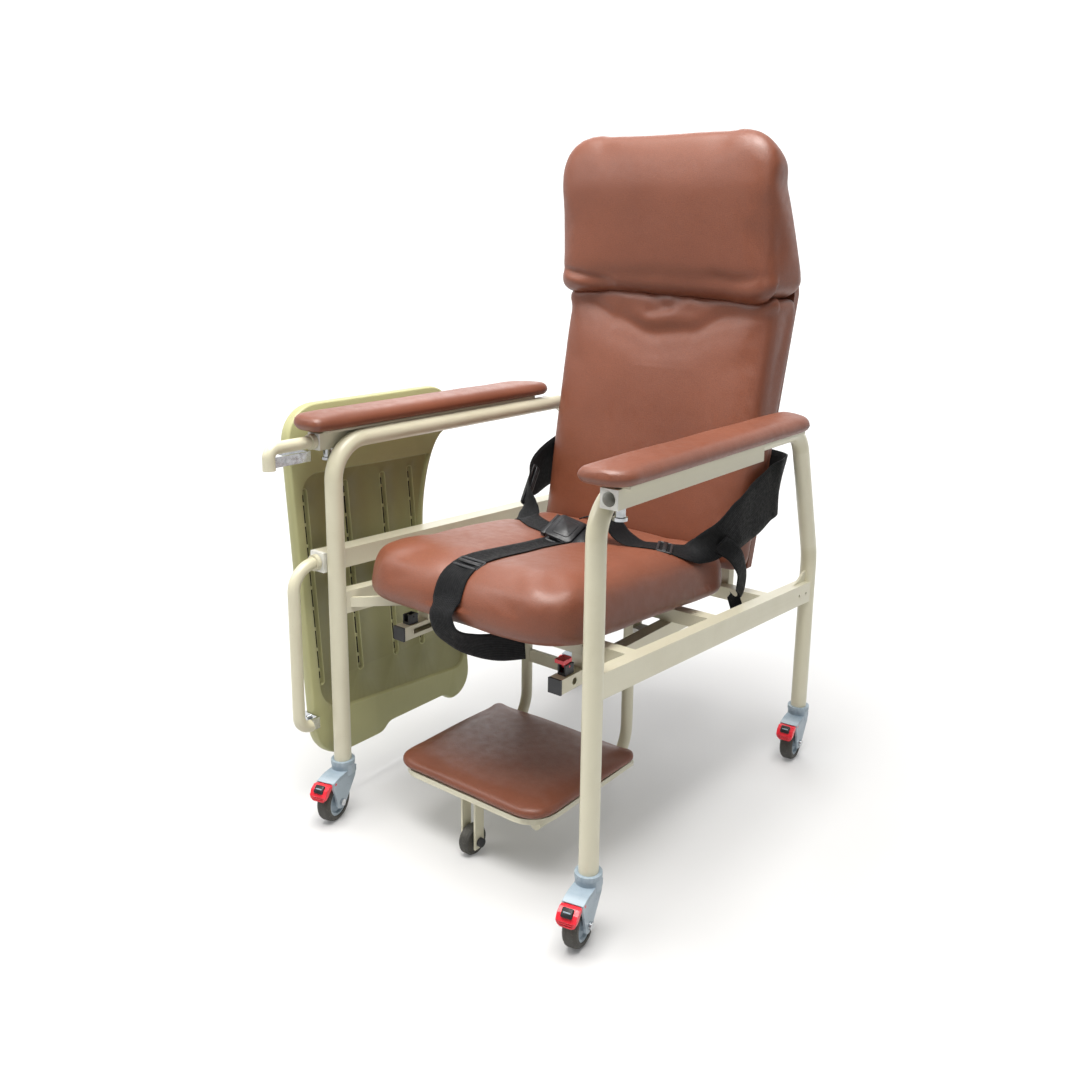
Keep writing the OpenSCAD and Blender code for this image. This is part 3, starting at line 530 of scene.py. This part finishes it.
def arm_shape(p, n):
    """A crowned top and full sides."""
    across = (abs(p.x) - ARM_MID) / ARM_HALF
    crown = 3.5 * max(1 - across * across, 0) if n.z > 0.3 else 0
    side = 1.5 * bell(p.z, 744, 9) * (1 - abs(n.z))
    ripple = noise.noise(Vector((p.x / 70, p.y / 90, p.z / 60))) * 0.8
    return Vector((0, 0, crown)) + n * (side + ripple)


def plain_shape(p, n):
    """Slightly uneven filling."""
    return n * noise.noise(Vector((p.x / 80, p.y / 80, p.z / 80))) * 0.9


# The covers are tight, so the pieces keep the solids' own shape and a part of the simulated swell
SIM_SHARE = 0.4

# Lengths in mm: voxel of the remesh, shrink before the simulation, cap on how far a point may move.
# Soften is a number of smoothing steps. A pinned point lies on its board and stays put.
Pad = namedtuple("Pad", "node body voxel shrink soften pressure cap pinned sculpt fill")
PADS = {
    "seat_cushion_cover": Pad("seat_cushion", "chair", 9, 3, 10, 4, 20,
                              lambda p: seat_height(p) < 34, seat_shape, 0.75),
    "back_cushion_cover": Pad("back_cushion", "chair", 9, 3, 12, 3, 12,
                              lambda p: back_depth(p) < 16, back_shape, 0.7),
    "head_cushion_cover": Pad("head_cushion", "chair", 8, 3, 16, 3, 12,
                              lambda p: back_depth(p) < 14, head_shape, 0.8),
    "arm_pad_cover_left": Pad("arm_pad_left", "chair", 5, 1.5, 5, 4, 5,
                              lambda p: p.z < 736, arm_shape, 0.7),
    "arm_pad_cover_right": Pad("arm_pad_right", "chair", 5, 1.5, 5, 4, 5,
                               lambda p: p.z < 736, arm_shape, 0.7),
    "footboard_cover": Pad("footboard_pad", "footrest", 5, 1.5, 5, 4, 8,
                           lambda p: p.z < 131, plain_shape, 0.6),
}
SIM_FRAMES = 20


def bake(obj):
    """Replaces an object's mesh by the result of its modifiers."""
    depsgraph = bpy.context.evaluated_depsgraph_get()
    mesh = bpy.data.meshes.new_from_object(obj.evaluated_get(depsgraph))
    obj.modifiers.clear()
    obj.data = mesh
    return mesh


def start_pad(name, pad):
    """A remeshed, softened and shrunk copy of a CAD cushion, ready for the simulation."""
    mesh = nodes[pad.node].data.copy()
    obj = bpy.data.objects.new(name, mesh)
    scene.collection.objects.link(obj)
    remesh = obj.modifiers.new("remesh", "REMESH")
    remesh.mode = "VOXEL"
    remesh.voxel_size = pad.voxel / 1000
    mesh = bake(obj)
    if pad.node == "head_cushion":
        for v in mesh.vertices:
            v.co = at(*round_head(chair_mm(v.co)))
    soften = obj.modifiers.new("soften", "SMOOTH")
    soften.iterations = pad.soften
    soften.factor = 0.5
    mesh = bake(obj)
    normals = [v.normal.copy() for v in mesh.vertices]
    for v, n in zip(mesh.vertices, normals):
        v.co -= n * pad.shrink / 1000
    group = obj.vertex_groups.new(name="pin")
    group.add([v.index for v in mesh.vertices if pad.pinned(chair_mm(v.co))], 1, "REPLACE")
    cloth = obj.modifiers.new("cloth", "CLOTH")
    cloth.settings.quality = 4
    cloth.settings.use_pressure = True
    cloth.settings.uniform_pressure_force = pad.pressure
    cloth.settings.effector_weights.gravity = 0
    cloth.settings.vertex_group_mass = "pin"
    cloth.settings.tension_stiffness = 12
    cloth.settings.bending_stiffness = 0.6
    cloth.collision_settings.use_collision = False
    cloth.collision_settings.use_self_collision = False
    cloth.point_cache.frame_start = 1
    cloth.point_cache.frame_end = SIM_FRAMES
    return obj, [v.co.copy() for v in mesh.vertices]


def finish_pad(obj, rest, pad):
    """Takes a capped share of the simulated swell, smooths it, and sculpts seams and folds."""
    mesh = bake(obj)
    obj.vertex_groups.clear()
    cap = pad.cap / 1000
    normals = [v.normal.copy() for v in mesh.vertices]
    for v, n, start in zip(mesh.vertices, normals, rest):
        full = n * pad.shrink / 1000
        move = v.co - start
        if move.length > cap:
            move = move.normalized() * cap
        v.co = start + full.lerp(move, SIM_SHARE)
    mesh.update()
    settle = obj.modifiers.new("settle", "SMOOTH")
    settle.iterations = 8
    settle.factor = 0.5
    refine = obj.modifiers.new("refine", "SUBSURF")
    refine.levels = 1
    mesh = bake(obj)
    normals = [v.normal.copy() for v in mesh.vertices]
    for v, n in zip(mesh.vertices, normals):
        v.co += pad.sculpt(chair_mm(v.co), n) / 1000
    mesh.materials.clear()
    mesh.materials.append(MATERIALS["vinyl"])
    for polygon in mesh.polygons:
        polygon.use_smooth = True
    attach(obj, pad.body)
    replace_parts(obj, pad.node)


started = {name: start_pad(name, pad) for name, pad in PADS.items()}
for frame_number in range(1, SIM_FRAMES + 1):
    scene.frame_set(frame_number)
for name, pad in PADS.items():
    finish_pad(*started[name], pad)
scene.frame_set(1)


def crease_fold(half_span, mid_y, deep, high, steps=16, around=16):
    """A roll of folded cover deep in the crease, so that no gap shows between the two cushions."""
    points, faces = [], []
    for i in range(steps + 1):
        u = -1 + 2 * i / steps
        size = max(1 - abs(u) ** 6, 0.1) ** 0.5
        for k in range(around):
            a = 2 * math.pi * k / around
            points.append((half_span * u, mid_y + deep * size * math.cos(a),
                           curve_at(half_span * u, CREASE) + high * size * math.sin(a)))
    for i in range(steps):
        for k in range(around):
            a, b = i * around + k, i * around + (k + 1) % around
            faces.append((a, b, b + around, a + around))
    faces.append(tuple(range(around)))
    faces.append(tuple(range(steps * around, (steps + 1) * around)))
    piece("crease_fold", points, faces, "vinyl", "chair")


crease_fold(214, 688, 45, 19)


# ---------- belts ----------

def surface_of(*names):
    """Finds the nearest outside point and normal on finished cushions, in chair millimetres."""
    trees = []
    for name in names:
        obj = bpy.data.objects[name]
        mesh = obj.data
        tree = kdtree.KDTree(len(mesh.vertices))
        for v in mesh.vertices:
            tree.insert(v.co, v.index)
        tree.balance()
        trees.append((tree, mesh))

    def nearest(p):
        """The point level with p on the closest cushion, and its normal."""
        world = p / 1000 + ORIGIN
        best = None
        for tree, mesh in trees:
            found = tree.find_n(world, 5)
            if best is None or found[0][2] < best[0]:
                q, n, total = Vector(), Vector(), 0
                for co, index, dist in found:
                    w = 1 / (dist + 1e-4)
                    q += co * w
                    n += mesh.vertices[index].normal * w
                    total += w
                best = (found[0][2], q / total, n.normalized())
        q, n = best[1], best[2]
        on_plane = world - n * (world - q).dot(n)
        return chair_mm(on_plane), n
    return nearest


seat_surface = surface_of("seat_cushion_cover")


def belt(name, stations, thick, hug=None):
    """A webbing strap. Stations: x, y, z, across x, y, z, width, hug (1 lies on the cushion)."""
    gap, step, across = 0.6, 5, 8
    total = spline(stations, 3)[1]
    n = max(int(total / step), 8)
    path, total = spline(stations, n)
    ring = [(-1 + 2 * i / across, 1) for i in range(across + 1)]
    ring += [(1 - 2 * i / across, -1) for i in range(across + 1)]
    points, uvs = [], []
    for i, s in enumerate(path):
        p = Vector(s[:3])
        before, after = Vector(path[max(i - 1, 0)][:3]), Vector(path[min(i + 1, n - 1)][:3])
        along = (after - before).normalized()
        side = Vector(s[3:6])
        side = (side - along * side.dot(along)).normalized()
        up = along.cross(side).normalized()
        half = s[6] / 2
        weight = min(max(s[7], 0), 1)
        for u, v in ring:
            edge = 0.5 if abs(u) > 0.99 else 1
            free = p + side * (u * half) + up * (v * thick / 2 * edge)
            if hug and weight > 0.01:
                base = p + side * (u * half)
                q, normal = hug(base)
                sign = 1 if up.dot(normal) >= 0 else -1
                lying = q + normal * (gap + thick / 2 + sign * v * thick / 2 * edge)
                free = free.lerp(lying, weight)
            points.append(tuple(free))
            uvs.append((u * half / 1000, total * i / (n - 1) / 1000))
    m = len(ring)
    faces = []
    for i in range(n - 1):
        for k in range(m):
            a, b = i * m + k, i * m + (k + 1) % m
            faces.append((a, b, b + m, a + m))
    faces.append(tuple(range(m)))
    faces.append(tuple(reversed(range((n - 1) * m, n * m))))
    return piece(name, points, faces, "webbing", "chair", uvs=uvs)


def cad_belt(name, stations, node):
    """A strap that takes the place of its CAD node."""
    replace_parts(belt(name, stations, 2.6, hug=seat_surface), node)


cad_belt("lap_belt_band_left", [
    (150, 716, 604, 0, 0.26, 0.96, 108, 0), (225, 706, 600, 0.1, 0.26, 0.96, 108, 0),
    (252, 668, 596, 0, 0.27, 0.96, 110, 0), (254, 620, 585, 0, 0.3, 0.95, 110, 0),
    (253, 560, 566, 0, 0.38, 0.92, 108, 0), (250, 505, 548, 0.1, 0.45, 0.88, 98, 0.0),
    (236, 458, 530, 0.35, 0.6, 0.7, 80, 0.25), (208, 422, 520, 0.5, 0.8, 0.3, 60, 0.8),
    (176, 397, 514, 0.45, 0.88, 0.1, 50, 1), (132, 370, 520, 0.4, 0.9, 0, 50, 1),
    (100, 354, 546, 0.35, 0.93, 0.05, 50, 0.6), (76, 341, 564, 0.3, 0.95, 0.1, 50, 0.1),
    (52, 329, 569, 0.2, 0.97, 0, 50, 0), (28, 318, 562, 0.1, 0.99, 0, 50, 0)], "lap_belt_left")
cad_belt("lap_belt_band_right", [
    (-150, 716, 610, 0, 0.26, 0.96, 100, 0), (-225, 706, 606, -0.1, 0.26, 0.96, 100, 0),
    (-252, 668, 604, 0, 0.27, 0.96, 100, 0), (-254, 610, 592, 0, 0.3, 0.95, 100, 0),
    (-252, 556, 578, 0, 0.4, 0.91, 96, 0), (-248, 516, 560, -0.05, 0.5, 0.86, 86, 0),
    (-240, 486, 545, -0.1, 0.62, 0.78, 70, 0), (-226, 458, 538, -0.35, 0.75, 0.5, 56, 0.3),
    (-198, 426, 528, -0.45, 0.85, 0.2, 52, 1), (-162, 392, 520, -0.45, 0.88, 0.1, 50, 1),
    (-110, 358, 522, -0.4, 0.9, 0, 50, 1), (-66, 334, 530, -0.3, 0.95, 0, 50, 1),
    (-30, 320, 540, -0.2, 0.97, 0, 50, 1)], "lap_belt_right")
cad_belt("crotch_belt", [
    (-2, 290, 530, 1, 0, 0, 50, 1), (-3, 230, 530, 1, 0, 0, 50, 1), (-4, 170, 534, 1, 0, 0, 50, 1),
    (-4, 100, 538, 1, 0, 0, 50, 1), (-4, 50, 538, 1, 0, 0, 50, 1), (-4, 10, 536, 1, 0, 0, 50, 1),
    (-4, -18, 516, 1, 0, 0, 50, 1), (-3, -30, 488, 1, 0.03, 0, 50, 0.9),
    (0, -32, 462, 1, 0.08, 0, 50, 0.25), (12, -24, 436, 1, 0.2, 0.05, 50, 0),
    (34, 0, 417, 0.85, 0.38, 0.4, 50, 0), (66, 34, 408, 0.62, 0.5, 0.62, 50, 0),
    (100, 66, 410, 0.66, 0.55, 0.5, 50, 0)], "crotch_strap")
belt("belt_tail_left", [
    (236, 462, 520, 0.7, 0.6, -0.2, 36, 0), (256, 486, 498, 0.3, 0.9, 0.1, 36, 0),
    (262, 505, 466, 0, 0.95, -0.2, 36, 0), (262, 508, 438, 0, 1, 0, 36, 0),
    (261, 498, 414, 0, 0.8, 0.5, 36, 0), (258, 474, 402, 0, 0.4, 0.9, 36, 0)], 2.4)


def bar_frame(name, centre, across, along, normal, w, d, t, hole=None, material="black", body="chair"):
    """A rounded flat buckle part: w across, d along, t thick, with an optional slot through it."""
    across, along, normal = (Vector(v).normalized() for v in (across, along, normal))
    centre = Vector(centre)
    r = min(w, d) * 0.18
    outer, n = [], 6
    for cx, cy, a0 in ((1, 1, 0), (-1, 1, 90), (-1, -1, 180), (1, -1, 270)):
        for i in range(n + 1):
            a = math.radians(a0 + 90 * i / n)
            outer.append((cx * (w / 2 - r) + r * math.cos(a), cy * (d / 2 - r) + r * math.sin(a)))
    count = len(outer)
    points, faces, rings = [], [], []

    def ring(scale_in, z):
        base = len(points)
        for x, y in outer:
            length = math.hypot(x, y)
            k = (length - scale_in) / length
            points.append(tuple(centre + across * x * k + along * y * k + normal * z))
        rings.append(base)

    ring(1.2, -t / 2)
    ring(0, -t / 2 + 1)
    ring(0, t / 2 - 1)
    ring(1.2, t / 2)
    if hole:
        hw, hd = hole
        for z in (t / 2, -t / 2):
            base = len(points)
            for x, y in outer:
                points.append(tuple(centre + across * max(min(x, hw / 2), -hw / 2)
                                    + along * max(min(y, hd / 2), -hd / 2) + normal * z))
            rings.append(base)
        rings.append(rings[0])
    for a, b in zip(rings, rings[1:]):
        for i in range(count):
            j = (i + 1) % count
            faces.append((a + i, a + j, b + j, b + i))
    if not hole:
        faces.append(tuple(range(rings[-1], rings[-1] + count)))
        faces.append(tuple(reversed(range(rings[0], rings[0] + count))))
    obj = piece(name, points, faces, material, body)
    bm = bmesh.new()
    bm.from_mesh(obj.data)
    bmesh.ops.remove_doubles(bm, verts=bm.verts, dist=1e-6)
    bmesh.ops.recalc_face_normals(bm, faces=bm.faces)
    bm.to_mesh(obj.data)
    bm.free()
    return obj


def on_seat(x, y, lift=0):
    """A point above the finished seat cover, and the cover's normal there."""
    q, n = seat_surface(Vector((x, y, 530)))
    return q + n * lift, n


def ladder(name, x, y, along):
    """Ladder-lock adjuster: a frame with a bar across it, lying on a strap on the seat."""
    p, n = on_seat(x, y, 3.5)
    along = Vector(along)
    along = (along - n * along.dot(n)).normalized()
    across = along.cross(n)
    bar_frame(name, p, across, along, n, 56, 30, 4.5, hole=(48, 20))
    bar_frame(name + "_bar", p + n * 1.2, across, along, n, 52, 8, 5)


ladder("adjuster_left", 166, 391, (0.88, 0.45, 0))
ladder("adjuster_crotch", -4, 46, (0, 1, 0))
# The right band's adjuster hangs beside the back, just above the seat
side_across, side_along = Vector((-0.1, 0.58, 0.8)), Vector((0.12, -0.82, 0.56))
side_normal = Vector((1, 0.1, 0.05))
bar_frame("adjuster_right", (-242, 497, 549), side_across, side_along, side_normal,
          92, 30, 5, hole=(80, 17))
bar_frame("adjuster_right_bar", (-240, 497, 549), side_across, side_along, side_normal, 88, 7, 6)

# Side-release buckle: body with two release wings, tongue and the loop of the crotch belt
p, n = on_seat(4, 312, 17)
n = (n + Vector((0.3, -0.42, 0))).normalized()
right = Vector((1, 0, 0))
right = (right - n * right.dot(n)).normalized()
back = n.cross(right)
buckle = bar_frame("buckle_body", p - right * 10, right, back, n, 58, 62, 15)
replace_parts(buckle, "belt_buckle")
bar_frame("buckle_tongue", p + right * 33, right, back, n, 26, 54, 10)
bar_frame("buckle_plate", p - right * 10 + n * 7.2, right, back, n, 38, 42, 3)
for s in (-1, 1):
    bar_frame("buckle_wing_%s" % ("a" if s > 0 else "b"), p + right * 8 + back * s * 28,
              right, back, n, 30, 9, 10)
bar_frame("buckle_web_bar", p - right * 42, right, back, n, 10, 58, 8)
bar_frame("buckle_crotch_loop", p - back * 33, right, back, n, 60, 16, 7, hole=(50, 8))


# ---------- castor details ----------

def dress_pedal(key):
    """Foot ribs and the black release button on a brake pedal."""
    joint = next(j for j in frame["joints"] if j["child"] == "swivel_" + key)
    stem = chair_mm(Vector(joint["pos_m"]))
    low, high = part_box("brake_pedal_" + key)
    ahead = chair_mm((Vector(low) + Vector(high)) / 2) - stem
    ahead.z = 0
    ahead.normalize()
    across = Vector((0, 0, 1)).cross(ahead)

    def spot(forward, z):
        return Vector((stem.x, stem.y, 0)) + ahead * forward + Vector((0, 0, z))

    body = "pedal_" + key
    for i, z in enumerate((61, 64.5, 68)):
        bar_frame("pedal_rib_%s_%d" % (key, i), spot(82, z), across, (0, 0, 1), ahead,
                  22 + 2 * i, 1.6, 1.6, material="pedal", body=body)
    normal = (ahead * 0.72 + Vector((0, 0, 0.69))).normalized()
    slope = across.cross(normal)
    bar_frame("pedal_button_" + key, spot(75.5, 79.5), across, slope, normal, 19, 15, 6, body=body)
    bar_frame("pedal_mark_" + key, spot(77.8, 81.6), across, slope, normal, 12, 2, 1.4,
              material="castor", body=body)


for key in ("fl", "fr", "rl", "rr"):
    dress_pedal(key)


# ---------- tray ----------

# The tray's middle, its lean, its length and width, the round cut in its rear edge, the grooves'
# places and half length, and the depths of the recess and of the finger notch in the lower edge
TRAY_MID = Vector((-355, 188, 426))
TRAY_ROLL = math.radians(4.8)
TRAY_L, TRAY_W = 678, 424
CUT_DEPTH, CUT_HALF, CUT_MID = 106, 231, 19
GROOVES = (-182, -85, 10, 84)
GROOVE_MID, GROOVE_HALF = -4, 189
RECESS, NOTCH = 7, 16


def tray_point(u, v, w):
    """u towards the back, v up, w away from the chair."""
    out = Vector((-math.cos(TRAY_ROLL), 0, -math.sin(TRAY_ROLL)))
    up = Vector((-math.sin(TRAY_ROLL), 0, math.cos(TRAY_ROLL)))
    return TRAY_MID + Vector((0, u, 0)) + up * v + out * w


def arc(cu, cv, r, a0, a1, n):
    """Points on an arc in the tray's plane, angles in degrees."""
    turn = [math.radians(a0 + (a1 - a0) * i / n) for i in range(n + 1)]
    return [(cu + r * math.cos(t), cv + r * math.sin(t)) for t in turn]


def tray_outline(lip):
    """Outline of the tray (lip 0) or of the recess in its underside."""
    half, front, rear = TRAY_L / 2, -TRAY_W / 2, TRAY_W / 2
    cut = []
    for i in range(41):
        v = CUT_HALF * (i / 20 - 1)
        depth = CUT_DEPTH * math.cos(math.radians(90 * v / CUT_HALF)) ** 0.45 if abs(i - 20) < 20 else 0
        cut.append((rear - depth - lip, CUT_MID + v))
    if lip:
        return (arc(front + 60, 212 - 40, 40, 90, 180, 8) + arc(front + 80, -192, 60, 180, 270, 10)
                + arc(rear - 42, -246, 30, 270, 360, 6) + [(u, min(v, 212)) for u, v in cut[3:37]])
    low = arc(front + 70, -half + 70, 70, 180, 270, 12)
    low += [(-90 + 40 * i / 4, -half) for i in range(1, 5)]
    ease = [(i / 4, 3 * (i / 4) ** 2 - 2 * (i / 4) ** 3) for i in range(1, 5)]
    low += [(-44 + 16 * t, -half + NOTCH * k) for t, k in ease]
    low += [(-20 + 150 * i / 8, -half + NOTCH) for i in range(1, 9)]
    low += [(134 + 16 * t, -half + NOTCH * (1 - k)) for t, k in ease]
    return (arc(front + 70, half - 70, 70, 90, 180, 12) + low
            + arc(rear - 55, -half + 55, 55, 270, 360, 10) + cut
            + arc(rear - 55, half - 55, 55, 0, 90, 10))


def even(points, n):
    """n points at even spacing along a closed polyline, lightly smoothed, anticlockwise."""
    loop = points + points[:1]
    lengths = [0]
    for a, b in zip(loop, loop[1:]):
        lengths.append(lengths[-1] + math.dist(a, b))
    out, j = [], 0
    for i in range(n):
        target = lengths[-1] * i / n
        while lengths[j + 1] < target:
            j += 1
        t = (target - lengths[j]) / max(lengths[j + 1] - lengths[j], 1e-9)
        a, b = loop[j], loop[j + 1]
        out.append((a[0] + (b[0] - a[0]) * t, a[1] + (b[1] - a[1]) * t))
    for _ in range(2):
        out = [tuple((out[i - 1][k] + 2 * out[i][k] + out[(i + 1) % n][k]) / 4 for k in (0, 1))
               for i in range(n)]
    if sum(a[0] * b[1] - b[0] * a[1] for a, b in zip(out, out[1:] + out[:1])) < 0:
        out.reverse()
    return out


def inset_loop(points, distance):
    """An anticlockwise loop moved inwards."""
    n, out = len(points), []
    for i in range(n):
        a, b = points[i - 1], points[(i + 1) % n]
        t = Vector((b[0] - a[0], b[1] - a[1])).normalized()
        out.append((points[i][0] - t.y * distance, points[i][1] + t.x * distance))
    return out


def slot_loop(u, v, half_w, half_len):
    """A slot with round ends, along v."""
    n, out = 8, []
    for s, base in ((1, 0), (-1, 180)):
        for i in range(n + 1):
            a = math.radians(base + 180 * i / n)
            out.append((u + half_w * math.cos(a), v + s * (half_len - half_w) + half_w * math.sin(a)))
    return out


def make_tray():
    """The tray: a rounded shell, a recess in its inner face, and four grooves with tied slits."""
    bm = bmesh.new()

    def ring(points, w):
        return [bm.verts.new(at(*tray_point(u, v, w))) for u, v in points]

    def bridge(a, b):
        n = len(a)
        return [bm.faces.new((a[i], a[(i + 1) % n], b[(i + 1) % n], b[i])) for i in range(n)]

    def fill(outer, holes):
        edges = []
        for loop in [outer] + holes:
            for i in range(len(loop)):
                pair = (loop[i], loop[(i + 1) % len(loop)])
                edges.append(bm.edges.get(pair) or bm.edges.new(pair))
        bmesh.ops.triangle_fill(bm, use_beauty=True, use_dissolve=False, edges=edges)

    # (inset, distance out from the inner face), from the outer skin round the edge to the inner face
    loop = even(tray_outline(0), 300)
    rings = [ring(inset_loop(loop, inset), w) for inset, w in (
        (14, 26), (8, 25.6), (4, 24.2), (1.4, 21.5), (0, 17), (0, 9.5), (0.6, 5.4),
        (1.6, 2.4), (3, 0.6), (5, 0))]
    for a, b in zip(rings, rings[1:]):
        bridge(a, b)
    fill(rings[0], [])
    wall = even(tray_outline(7), 260)
    steps = [ring(inset_loop(wall, inset), w) for inset, w in (
        (0, 0), (0.9, 0.5), (1.8, 2), (2.8, RECESS - 1.8), (3.8, RECESS - 0.5), (5, RECESS))]
    for a, b in zip(steps, steps[1:]):
        bridge(a, b)
    fill(rings[-1], [steps[0]])
    mouths, slits = [], []
    for u in GROOVES:
        made = [ring(slot_loop(u, GROOVE_MID, hw, GROOVE_HALF + hw - 7), RECESS + w) for hw, w in (
            (8.2, 0), (7.6, -1.1), (6.8, -1.4), (6, -0.6), (5.3, 1.8), (4.5, 4.1), (3.6, 4.8))]
        for a, b in zip(made, made[1:]):
            bridge(a, b)
        mouth = ring(slot_loop(u, GROOVE_MID, 2.2, GROOVE_HALF - 12), RECESS + 4.8)
        fill(made[-1], [mouth])
        sunk = ring(slot_loop(u, GROOVE_MID, 2.1, GROOVE_HALF - 12.5), RECESS + 9)
        # The slit walls and floors are given the dark material below: painted shade.
        slits += bridge(mouth, sunk)
        slits.append(bm.faces.new(sunk))
        for k in range(-4, 5):
            tie_mid = GROOVE_MID + k * 40 + noise.noise(Vector((u, k, 0))) * 8
            tie = [(u + du, tie_mid + dv) for du, dv in ((-2.4, -3), (2.4, -3), (2.4, 3), (-2.4, 3))]
            top, low = ring(tie, RECESS + 4.4), ring(tie, RECESS + 9)
            bridge(top, low)
            bm.faces.new(top)
        mouths.append(made[0])
    fill(steps[-1], mouths)
    bmesh.ops.recalc_face_normals(bm, faces=bm.faces)
    for f in bm.faces:
        f.smooth = True
    # Slit faces take the second, dark material: painted shade.
    for f in slits:
        f.material_index = 1
    mesh = bpy.data.meshes.new("tray_shell")
    bm.to_mesh(mesh)
    bm.free()
    mesh.materials.append(MATERIALS["tray"])
    mesh.materials.append(MATERIALS["painted_slit_shade"])
    obj = bpy.data.objects.new("tray_shell", mesh)
    scene.collection.objects.link(obj)
    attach(obj, "tray")
    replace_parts(obj, "tray_panel")


make_tray()


# ---------- rounded edges on the metal and moulded CAD nodes ----------

BEVELS = {
    "side_rails": 1.5, "front_cross_beam": 1.5, "rear_cross_beams": 1.5, "arm_sockets": 2,
    "storage_tube": 2.5, "slide_rails": 1.5, "rail_end_caps": 1.2, "latch_bases": 1.5,
    "tray_clamps": 0.8, "footrest_fork": 0.8, "footboard_base": 2, "back_frame": 2,
    "arm_pad_bases": 1, "latch_lever": 1.2, "back_board": 6, "seat_base": 2,
}
for name, width in BEVELS.items():
    bevel = nodes[name].modifiers.new("soft_edges", "BEVEL")
    bevel.width = width / 1000
    bevel.segments = 3
    bevel.limit_method = "ANGLE"
    bevel.angle_limit = math.radians(40)


# ---------- stage, light and camera ----------

CAMERA_AT = (1111.79, -1170.06, 1062.74)
CAMERA_YAW, CAMERA_PITCH, CAMERA_ROLL = 0.64473, -0.21923, 0.01703
CAMERA_LENS, CAMERA_SENSOR, CAMERA_SHIFT = 34.456, 36, (-0.02596, -0.0652)


def sweep():
    """A pale floor that curves up into a brighter backdrop behind the chair; both glow as painted light, more
    strongly further back.
    """
    profile = [(-30, 0), (-8, 0)] + [(y, 0) for y in range(-6, 4, 2)] + [(3.2, 0)]
    bend_y, bend_r, half_width = 3.2, 3, 30
    for degrees in range(5, 91, 5):
        a = math.radians(degrees)
        profile.append((bend_y + bend_r * math.sin(a), bend_r - bend_r * math.cos(a)))
    profile += [(bend_y + bend_r, 20)]
    points = [(x, y, z) for y, z in profile for x in (-half_width, half_width)]
    faces = [(2 * i, 2 * i + 1, 2 * i + 3, 2 * i + 2) for i in range(len(profile) - 1)]
    mesh = bpy.data.meshes.new("floor")
    mesh.from_pydata(points, [], faces)
    for polygon in mesh.polygons:
        polygon.use_smooth = True
    m = Mat("floor", 0.9, Specular_IOR_Level=0.1, Base_Color=(0.5, 0.5, 0.5, 1),
            Emission_Color=(1, 1, 1, 1))
    separate = m.n.new("ShaderNodeSeparateXYZ")
    m.link(m.coord.outputs["Object"], separate.inputs[0])
    # Emission grows from 0.1 at the front to 0.8 at the backdrop: a painted glow, not a lamp.
    m.link(m.ramp(separate.outputs["Y"], -0.5, 5, 0.1, 0.8), m.bsdf.inputs["Emission Strength"])
    mesh.materials.append(m.m)
    obj = bpy.data.objects.new("floor", mesh)
    obj.rotation_euler = (0, 0, CAMERA_YAW)
    scene.collection.objects.link(obj)


sweep()
world = bpy.data.worlds.new("studio")
world.use_nodes = True
world.node_tree.nodes["Background"].inputs["Color"].default_value = (0.95, 0.97, 1, 1)
world.node_tree.nodes["Background"].inputs["Strength"].default_value = 0.14
scene.world = world


def area_light(name, place, target, size, power, colour=(1, 1, 1)):
    """A soft rectangular light at place, aimed at target."""
    data = bpy.data.lights.new(name, "AREA")
    data.shape = "RECTANGLE"
    data.size, data.size_y = size
    data.energy = power
    data.color = colour
    obj = bpy.data.objects.new(name, data)
    scene.collection.objects.link(obj)
    obj.location = place
    obj.rotation_euler = (Vector(target) - Vector(place)).to_track_quat("-Z", "Y").to_euler()


area_light("key", (0.3, -0.9, 4.2), (0, 0, 0.4), (3.2, 2.6), 340, (1, 0.985, 0.96))
area_light("fill", (3.2, -2.2, 1.8), (0, 0, 0.6), (2.4, 2.4), 9, (0.95, 0.97, 1))
area_light("front", (-1.7, -1.9, 2.3), (0, 0.3, 0.7), (1.4, 1.0), 26, (1, 0.98, 0.97))
area_light("rim", (-2.2, 2.8, 2.6), (0, 0, 0.7), (2.0, 1.6), 24)

camera_data = bpy.data.cameras.new("camera")
camera_data.sensor_width = CAMERA_SENSOR
camera_data.lens = CAMERA_LENS
camera_data.shift_x, camera_data.shift_y = CAMERA_SHIFT
camera_data.clip_end = 100
camera = bpy.data.objects.new("camera", camera_data)
scene.collection.objects.link(camera)
cy, sy = math.cos(CAMERA_YAW), math.sin(CAMERA_YAW)
cp, sp = math.cos(CAMERA_PITCH), math.sin(CAMERA_PITCH)
forward = Vector((-sy * cp, cy * cp, sp))
level = Vector((cy, sy, 0))
above = level.cross(forward)
cr, sr = math.cos(CAMERA_ROLL), math.sin(CAMERA_ROLL)
right_axis = level * cr + above * sr
up_axis = above * cr - level * sr
turn = Matrix((right_axis, up_axis, -forward)).transposed().to_4x4()
camera.matrix_world = Matrix.Translation(at(*CAMERA_AT)) @ turn
scene.camera = camera
